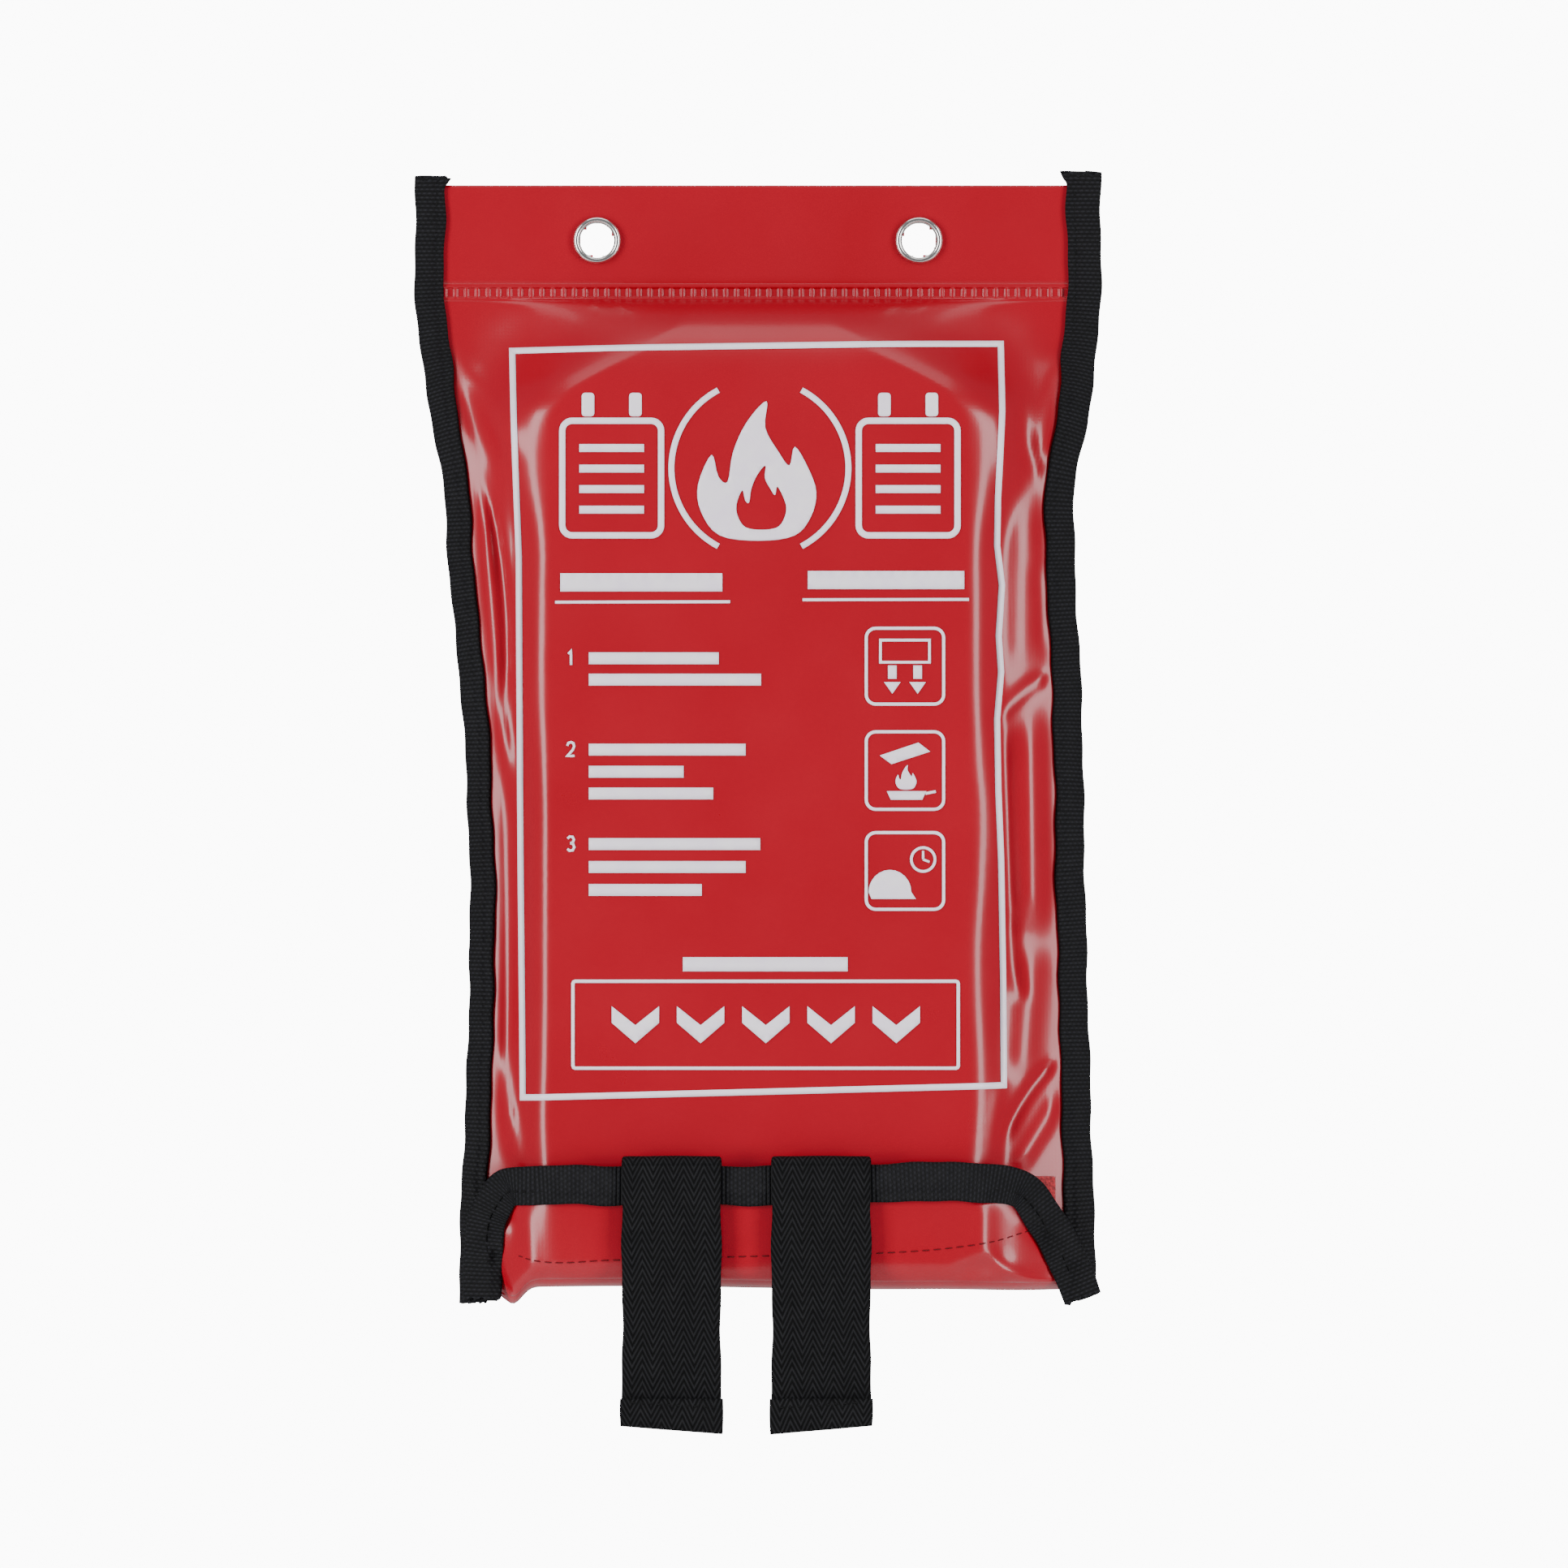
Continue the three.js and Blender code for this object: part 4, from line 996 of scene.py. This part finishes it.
def pull_tabs():
    hinge_depth = joint_place("flap_open")[0]
    turn_depth, turn_height = joint_place("left_tab_lift")
    tail_face = TAIL_BACK + TAB_THICKNESS
    leg_back = 2 * turn_depth - tail_face
    leg_face = leg_back + TAB_THICKNESS
    bend = (PACK_FACE - 2, 6.0)
    leg_radius = leg_face - bend[0]
    foot = bend[1] - leg_radius
    turn_top = turn_height - 1.5
    tail_top = turn_top - 0.5
    leg_top = turn_height - 14
    anchor = [(1.1, 38.0), (1.1, 30.0), (1.1, 20.0), (1.1, 9.0), (1.2, 4.0), (1.9, foot + 0.6)]
    anchor += [(2.9, foot), *((d, foot) for d in np.linspace(5, bend[0] - 1, 10))]
    anchor += arc_points(bend, leg_radius, 0, np.pi / 2, 14)
    anchor += [(leg_face, h) for h in np.linspace(8, leg_top, 6)]
    over = [(leg_back, h) for h in np.linspace(leg_top - 0.05, turn_top - 1, 8)]
    turn_radius = (tail_face - leg_back) / 2
    over += arc_points((turn_depth, turn_top), turn_radius, -np.pi / 2, -1.5 * np.pi, 17, flatten=0.6)
    over.append((tail_face, tail_top))
    heights = np.concatenate([np.linspace(tail_top, turn_height - 6, 7), np.linspace(24, TAB_TIP, 40)])
    down = turn_top - heights
    swing = 0.5 * np.sin(down / 16.0) + 0.25 * np.sin(down / 6.0)
    tail = np.stack([tail_face + swing * ease(down / 20), heights], -1)
    for side, slant in (("left", 2.0), ("right", -2.2)):
        span = TAB_SPANS[side]
        piece = ribbon(f"{side}_tape_anchor", anchor, span)
        behind, ahead = pouch_point(hinge_depth - 4.5), pouch_point(hinge_depth - 1.2)
        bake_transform(piece)
        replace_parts(piece, f"{side}_tab_anchor", f"{side}_tab_leg")
        piece = ribbon(f"{side}_tape_turn", over[::-1], span, laid=run_along(tail)[-1])
        inner, outer = pouch_point(leg_face, turn_height), pouch_point(TAIL_BACK, turn_height)
        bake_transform(piece)
        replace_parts(piece, f"{side}_tab_turn")
        piece = ribbon(f"{side}_tape_tail", tail[::-1], span, slant=slant)
        high, low = pouch_point(turn_depth, turn_height - 1.5), pouch_point(turn_depth, turn_height - 5.5)
        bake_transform(piece)
        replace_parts(piece, f"{side}_pull_tab")
        hem(side, span, tail_face, slant)
        anchor_stitches(side)


def hem(side, span, tail_face, slant):
    """The turned-up end of a tab, and the stitching that holds it."""
    height = 8.0
    rise = np.linspace(0, height, 10)
    swell = 0.35 * np.sin(rise / height * np.pi)
    profile = np.stack([tail_face + TAB_THICKNESS + 0.1 + swell, TAB_TIP - 0.2 + rise], -1)
    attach(ribbon(f"{side}_tape_hem", profile, (span[0] - 0.4, span[1] + 0.4), slant=slant), f"{side}_tab")
    x = np.linspace(span[0] + 1.5, span[1] - 1.5, 40)
    row = at(x, tail_face + TAB_THICKNESS + 0.25, TAB_TIP + height - 1.8 - 0.75 * slant * (x - x.mean()) / 26)
    sewn = stitches(f"{side}_hem_stitches", row, AHEAD, BLACK_THREAD, pitch=2.3)
    fit(sewn, f"{side}_tab", f"{side}_tab_stitching")


def anchor_stitches(side):
    """A stitched box with a cross in it, on the back of the tape behind the blanket."""
    node = f"{side}_anchor_stitching"
    (x0, x1), (z0, z1) = extent(node, "x"), extent(node, "height")
    corners = np.array([(x0, z0), (x1, z0), (x1, z1), (x0, z1), (x0, z0), (x1, z1), (x1, z0), (x0, z1)])
    share = np.linspace(0, 1, 20, endpoint=False)[:, None]
    line = np.concatenate([lerp(a, b, share) for a, b in zip(corners, corners[1:])])
    row = at(line[:, 0], 1.05, line[:, 1])
    fit(stitches(f"{side}_anchor_stitches", row, BACKWARD, BLACK_THREAD), "blanket", node)


# ---- printing ----
PRINT_LIFT = 0.2
PRINT_THICKNESS = 0.05


def subdivided(a, b, step):
    """Points from a up to b, one to two steps apart. b itself is left out."""
    count = max(1, int(np.linalg.norm(b - a) / step))
    return [tuple(lerp(a, b, k / count)) for k in range(count)]


class Print:
    """Ink laid on the front of the pouch as thin raised film, cut from flat shapes in (x, height)."""

    def __init__(self):
        self.points, self.faces = [], []
        self.origin = (0.0, 0.0)  # where a shape's own (0, 0) lies on the pouch

    def add(self, vertices, faces):
        start = len(self.points)
        self.points += [(x + self.origin[0], z + self.origin[1]) for x, z in vertices]
        self.faces += [tuple(start + i for i in f) for f in faces]

    def area(self, outline, step=2.4, holes=()):
        """A filled shape, with points inside it so that the ink follows the cloth."""
        loops = [np.array(loop, float) for loop in (outline, *holes)]
        points, edges = [], []
        for loop in loops:
            start = len(points)
            for a, b in zip(loop, np.roll(loop, -1, axis=0)):
                points += subdivided(a, b, step)
            edges += [(k, k + 1) for k in range(start, len(points) - 1)] + [(len(points) - 1, start)]
        low, high = loops[0].min(0), loops[0].max(0)
        across, up = (np.arange(low[k] + step / 2, high[k], step) for k in (0, 1))
        points += [(x, z) for x in across for z in up]
        inside = 2 if holes else 1
        cut = geometry.delaunay_2d_cdt([Vector(p) for p in points], edges, [], inside, 1e-5)
        faces = cut[2]
        if holes:
            faces = [f for f in faces if inside_loops(np.mean([cut[0][i] for i in f], axis=0), loops)]
        self.add(cut[0], faces)

    def bar(self, x0, x1, z, height):
        low, high = z - height / 2, z + height / 2
        self.area([(x0, low), (x1, low), (x1, high), (x0, high)], step=3.0)

    def line(self, path, width, closed=False):
        """A stroke of even width along a path, mitred at its corners."""
        path = np.array(path, float)
        runs = zip(path, np.roll(path, -1, axis=0) if closed else path[1:])
        fine = [p for a, b in runs for p in subdivided(a, b, 0.9)]
        fine = np.array(fine if closed else [*fine, path[-1]])
        before, after = np.roll(fine, 1, axis=0), np.roll(fine, -1, axis=0)
        if not closed:
            before[0], after[-1] = fine[0], fine[-1]
        d0, d1 = fine - before, after - fine
        d0 = np.where(np.linalg.norm(d0, axis=1, keepdims=True) < 1e-9, d1, d0)
        d1 = np.where(np.linalg.norm(d1, axis=1, keepdims=True) < 1e-9, d0, d1)
        n0 = unit(np.stack([-d0[:, 1], d0[:, 0]], -1))
        n1 = unit(np.stack([-d1[:, 1], d1[:, 0]], -1))
        mitre = unit(n0 + n1)
        stretch = 1 / np.maximum(0.5, (mitre * n0).sum(1, keepdims=True))
        side = mitre * stretch * width / 2
        loop = np.concatenate([fine + side, fine - side])
        n = len(fine)
        faces = [(k, (k + 1) % n, n + (k + 1) % n, n + k) for k in range(n if closed else n - 1)]
        self.add(loop, faces)

    def ring(self, x, z, radius, width, start=0.0, end=2 * np.pi):
        angle = np.linspace(start, end, 40)
        path = np.stack([x + radius * np.cos(angle), z + radius * np.sin(angle)], -1)
        whole = abs(end - start - 2 * np.pi) < 1e-6
        self.line(path[:-1] if whole else path, width, closed=whole)

    def piece(self, name, skin):
        """Lays the shapes back on the cloth and gives the film its thickness."""
        tree = BVHTree.FromPolygons(
            [v.co.copy() for v in skin.data.vertices], [tuple(p.vertices) for p in skin.data.polygons]
        )
        flat = np.array(self.points)
        top = []
        for p in at(flat[:, 0], 2 * PACK_FACE, flat[:, 1]):
            hit = tree.ray_cast(Vector(p), Vector(BACKWARD))[0]
            if hit is None:
                raise ValueError(f"{name}: a point of the print misses the cloth")
            top.append(hit)
        top = np.array(top) + np.array(AHEAD) * PRINT_LIFT * MM
        under = top - np.array(AHEAD) * PRINT_THICKNESS * MM
        upper = []
        for f in self.faces:
            a, b, c = flat[list(f[:3])]
            upper.append(f if np.cross(b - a, c - a) > 0 else f[::-1])
        return mesh_piece(name, np.concatenate([top, under]), closed_layer(upper, len(top)), INK)


def inside_loops(point, loops):
    """Whether a point is in the first loop and out of the others."""

    def within(loop):
        x, z = point
        a, b = loop, np.roll(loop, -1, axis=0)
        crosses = (a[:, 1] > z) != (b[:, 1] > z)
        where = a[:, 0] + (z - a[:, 1]) / np.where(crosses, b[:, 1] - a[:, 1], 1) * (b[:, 0] - a[:, 0])
        return (crosses & (x < where)).sum() % 2 == 1

    return within(loops[0]) and not any(within(h) for h in loops[1:])


def rounded(x0, z0, x1, z1, r, count=7):
    """The outline of a box with rounded corners."""
    corners = [(x1 - r, z0 + r, -90), (x1 - r, z1 - r, 0), (x0 + r, z1 - r, 90), (x0 + r, z0 + r, 180)]
    outline = []
    for x, z, start in corners:
        turn = np.radians(start) + np.radians(np.linspace(0, 90, count))
        outline += [(x + r * np.cos(t), z + r * np.sin(t)) for t in turn]
    return outline


def flame(x, z, size):
    """The outline of a plain three-tongued flame standing on (x, z)."""
    keys = [(-0.30, 0.0), (-0.44, 0.18), (-0.46, 0.38), (-0.36, 0.60), (-0.31, 0.44), (-0.24, 0.40)]
    keys += [(-0.20, 0.62), (-0.10, 0.84), (0.05, 1.0), (0.04, 0.80), (0.14, 0.62), (0.22, 0.52)]
    keys += [(0.26, 0.66), (0.36, 0.50), (0.42, 0.32), (0.38, 0.14), (0.26, 0.0), (0.0, -0.04)]
    keys = np.array(keys) * size + np.array([x, z])
    smooth = []
    for a, b, c, d in zip(*(np.roll(keys, shift, axis=0) for shift in (1, 0, -1, -2))):
        for t in (0.0, 0.25, 0.5, 0.75):
            bent = (2 * a - 5 * b + 4 * c - d) * t**2 + (3 * b - a - 3 * c + d) * t**3
            smooth.append(0.5 * (2 * b + (c - a) * t + bent))
    return smooth


def flame_heart(x, z, size):
    outline = np.array(flame(0, 0, 1.0)) * np.array([0.42, 0.46]) + np.array([0.02, 0.06])
    return outline * size + np.array([x, z])


NUMERALS = {
    "1": [[(0.2, 0.78), (0.5, 1.0), (0.5, 0.0)]],
    "2": [
        [(0.08, 0.74), (0.2, 0.94), (0.5, 1.0), (0.78, 0.92)]
        + [(0.86, 0.7), (0.7, 0.45), (0.08, 0.03), (0.9, 0.03)],
    ],
    "3": [
        [(0.1, 0.86), (0.35, 1.0), (0.68, 0.98), (0.84, 0.78), (0.7, 0.58), (0.4, 0.54)],
        [(0.4, 0.54), (0.74, 0.48), (0.88, 0.26), (0.7, 0.04), (0.34, 0.0), (0.08, 0.14)],
    ],
}


def numeral(ink, figure, x, z, height):
    for stroke in NUMERALS[figure]:
        ink.line([(x + a * height * 0.62, z + b * height) for a, b in stroke], height * 0.17)


def emblem(ink):
    """The heading: a flame in a shield outline between two hung blankets."""
    middle = 0.5
    ink.area(flame(middle, 190.5, 34), step=2.0, holes=[flame_heart(middle, 190.5, 34)])
    for side in (-1, 1):
        x0 = middle + side * 37.5
        ink.line(rounded(x0 - 12.5, 190.5, x0 + 12.5, 219.5, 2.5), 1.6, closed=True)
        for k in range(4):
            ink.bar(x0 - 8.2, x0 + 8.2, 197.0 + 5.2 * k, 2.0)
        for tab in (-6.0, 6.0):
            ink.area(rounded(x0 + tab - 1.6, 220.6, x0 + tab + 1.6, 226.6, 0.8, 4), step=1.6)
    for facing in (0, 180):
        ink.ring(middle, 207.5, 22.4, 1.5, np.radians(facing - 62), np.radians(facing + 62))


def pull_sign(ink):
    """Two tabs with arrows pulling down out of a pouch."""
    ink.line(rounded(0, 0, 19.6, 19.2, 2.4), 0.8, closed=True)
    ink.line([(3.6, 16.2), (16, 16.2), (16, 10.6), (3.6, 10.6)], 0.7, closed=True)
    for x in (6.6, 13.0):
        ink.area([(x - 1.1, 6.4), (x + 1.1, 6.4), (x + 1.1, 9.8), (x - 1.1, 9.8)], 1.5)
        ink.area([(x - 2.1, 5.6), (x, 2.6), (x + 2.1, 5.6)], 1.5)


def cover_sign(ink):
    """A sheet held over a burning pan."""
    ink.line(rounded(0, 0, 19.6, 19.6, 2.4), 0.8, closed=True)
    ink.area([(3.4, 13.6), (13.2, 16.9), (16.2, 14.6), (6.4, 11.4)], 1.6)
    ink.area(flame(10.2, 5.2, 6.0), step=1.2)
    ink.area([(5.2, 4.6), (15.2, 4.6), (14.2, 2.4), (6.2, 2.4)], 1.5)
    ink.line([(15.0, 4.0), (17.6, 4.5)], 0.7)


def smother_sign(ink):
    """A sheet lying over a covered pan, with a dial beside it."""
    ink.line(rounded(0, 0, 19.6, 19.4, 2.4), 0.8, closed=True)
    arch = [(6.0 + 5.4 * np.cos(a), 4.4 + 5.6 * np.sin(a)) for a in np.linspace(np.pi, 0, 13)]
    ink.area([*arch, (12.6, 2.6), (1.3, 2.6)], step=1.4)
    dial = (14.4, 12.6)
    ink.ring(*dial, 3.0, 0.7)
    for tip in ((14.4, 14.8), (16.0, 12.0)):
        ink.line([dial, tip], 0.6)


# The white frame round the printing, which wavers a little.
BORDER = [(-62.5, 237.7), (61.7, 239.5), (61.9, 222), (60.8, 200), (60.6, 188), (61.8, 178), (61.0, 165)]
BORDER += [(61.6, 156), (60.6, 144), (60.9, 126), (61.6, 108), (62.1, 80), (62.3, 51.3), (-59.6, 48.2)]
BORDER += [(-60.2, 110), (-60.6, 185)]


def printing(skin):
    ink = Print()
    ink.line(BORDER, 1.6, closed=True)
    emblem(ink)
    ink.bar(-50.0, -9.0, 178.6, 4.6)
    ink.line([(-51.3, 173.6), (-7.0, 173.7)], 0.75)
    ink.bar(12.6, 52.2, 179.2, 4.6)
    ink.line([(11.3, 174.2), (53.4, 174.3)], 0.75)
    steps = {
        "1": [(159.4, -9.9), (154.0, 0.8)],
        "2": [(136.3, -3.1), (130.7, -18.8), (125.2, -11.3)],
        "3": [(112.4, 0.6), (106.6, -3.1), (100.8, -14.2)],
    }
    for figure, rows in steps.items():
        numeral(ink, figure, -48.4, rows[0][0] - 1.7, 3.6)
        for z, end in rows:
            ink.bar(-42.8, end, z, 3.0)
    for sign, z in ((pull_sign, 147.8), (cover_sign, 121.2), (smother_sign, 95.9)):
        ink.origin = (27.4, z)
        sign(ink)
    ink.origin = (0.0, 0.0)
    ink.bar(-19.0, 22.7, 82.0, 3.6)
    ink.line(rounded(-46.8, 55.7, 50.7, 77.7, 0.6, 3), 0.85, closed=True)
    for k in range(5):
        x = -31.0 + 16.5 * k
        ink.area([(x - 6, 71.4), (x, 66.6), (x + 6, 71.4), (x + 6, 67.2), (x, 62.0), (x - 6, 67.2)], 1.8)
    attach(ink.piece("printed_panel", skin), "pouch")


# ---- the whole part ----
skin = front_panel()
weld_strip()
back_panel()
side_bindings()
eyelets()
flap_skin()
gusset_skin()
flap_trim()
closure()
folded_blanket()
pull_tabs()
printing(skin)


# ---- floor, light and camera ----
FLOOR_DROP = 0.36  # metres from the bottom fold to the floor, clear of the pulled-out blanket


def studio():
    bpy.ops.mesh.primitive_plane_add(size=1.6, location=(0, -0.12, FOLD - FLOOR_DROP))
    floor = bpy.context.active_object
    floor.name = "floor"
    floor.data.materials.append(Finish("studio_floor", (0.78, 0.78, 0.78), 0.8).material)
    world = bpy.data.worlds.new("studio")
    bpy.context.scene.world = world
    world.use_nodes = True
    tree = world.node_tree
    tree.nodes.clear()
    out, pick, path, seen, lit = (
        tree.nodes.new("ShaderNode" + kind)
        for kind in ("OutputWorld", "MixShader", "LightPath", "Background", "Background")
    )
    for shade, colour, strength in ((lit, (0.92, 0.94, 1.0, 1), 0.22), (seen, (1, 1, 1, 1), 11.0)):
        shade.inputs["Color"].default_value = colour
        shade.inputs["Strength"].default_value = strength
    tree.links.new(path.outputs["Is Camera Ray"], pick.inputs[0])
    tree.links.new(lit.outputs[0], pick.inputs[1])
    tree.links.new(seen.outputs[0], pick.inputs[2])
    tree.links.new(pick.outputs[0], out.inputs[0])


def softbox(name, place, width, height, power):
    """A rectangular light aimed at the pouch."""
    data = bpy.data.lights.new(name, "AREA")
    data.shape = "RECTANGLE"
    data.size, data.size_y = width, height
    data.energy = power
    lamp = bpy.data.objects.new(name, data)
    bpy.context.scene.collection.objects.link(lamp)
    lamp.location = place
    lamp.rotation_euler = (Vector((0, -0.03, 0.01)) - Vector(place)).to_track_quat("-Z", "Y").to_euler()


def photo_camera():
    height, sideways, distance = 127.6, 6.6, 4.5
    width_at_object, object_depth = 0.3984, 0.012
    data = bpy.data.cameras.new("photo_camera")
    data.sensor_width = 36.0
    data.lens = data.sensor_width * (distance - object_depth) / width_at_object
    camera = bpy.data.objects.new("photo_camera", data)
    bpy.context.scene.collection.objects.link(camera)
    camera.location = (sideways * MM, -distance, FOLD + height * MM)
    camera.rotation_euler = (np.pi / 2, 0, 0)
    bpy.context.scene.camera = camera


studio()
softbox("overhead", (0.0, -0.3, 1.6), 1.5, 0.8, 7)
softbox("left_strip", (-1.1, -0.8, 0.2), 0.5, 1.4, 23)
softbox("right_strip", (1.1, -0.8, 0.2), 0.5, 1.4, 20)
softbox("back_fill", (0.0, 1.4, 0.9), 1.6, 0.9, 16)
photo_camera()

bpy.context.view_layer.update()
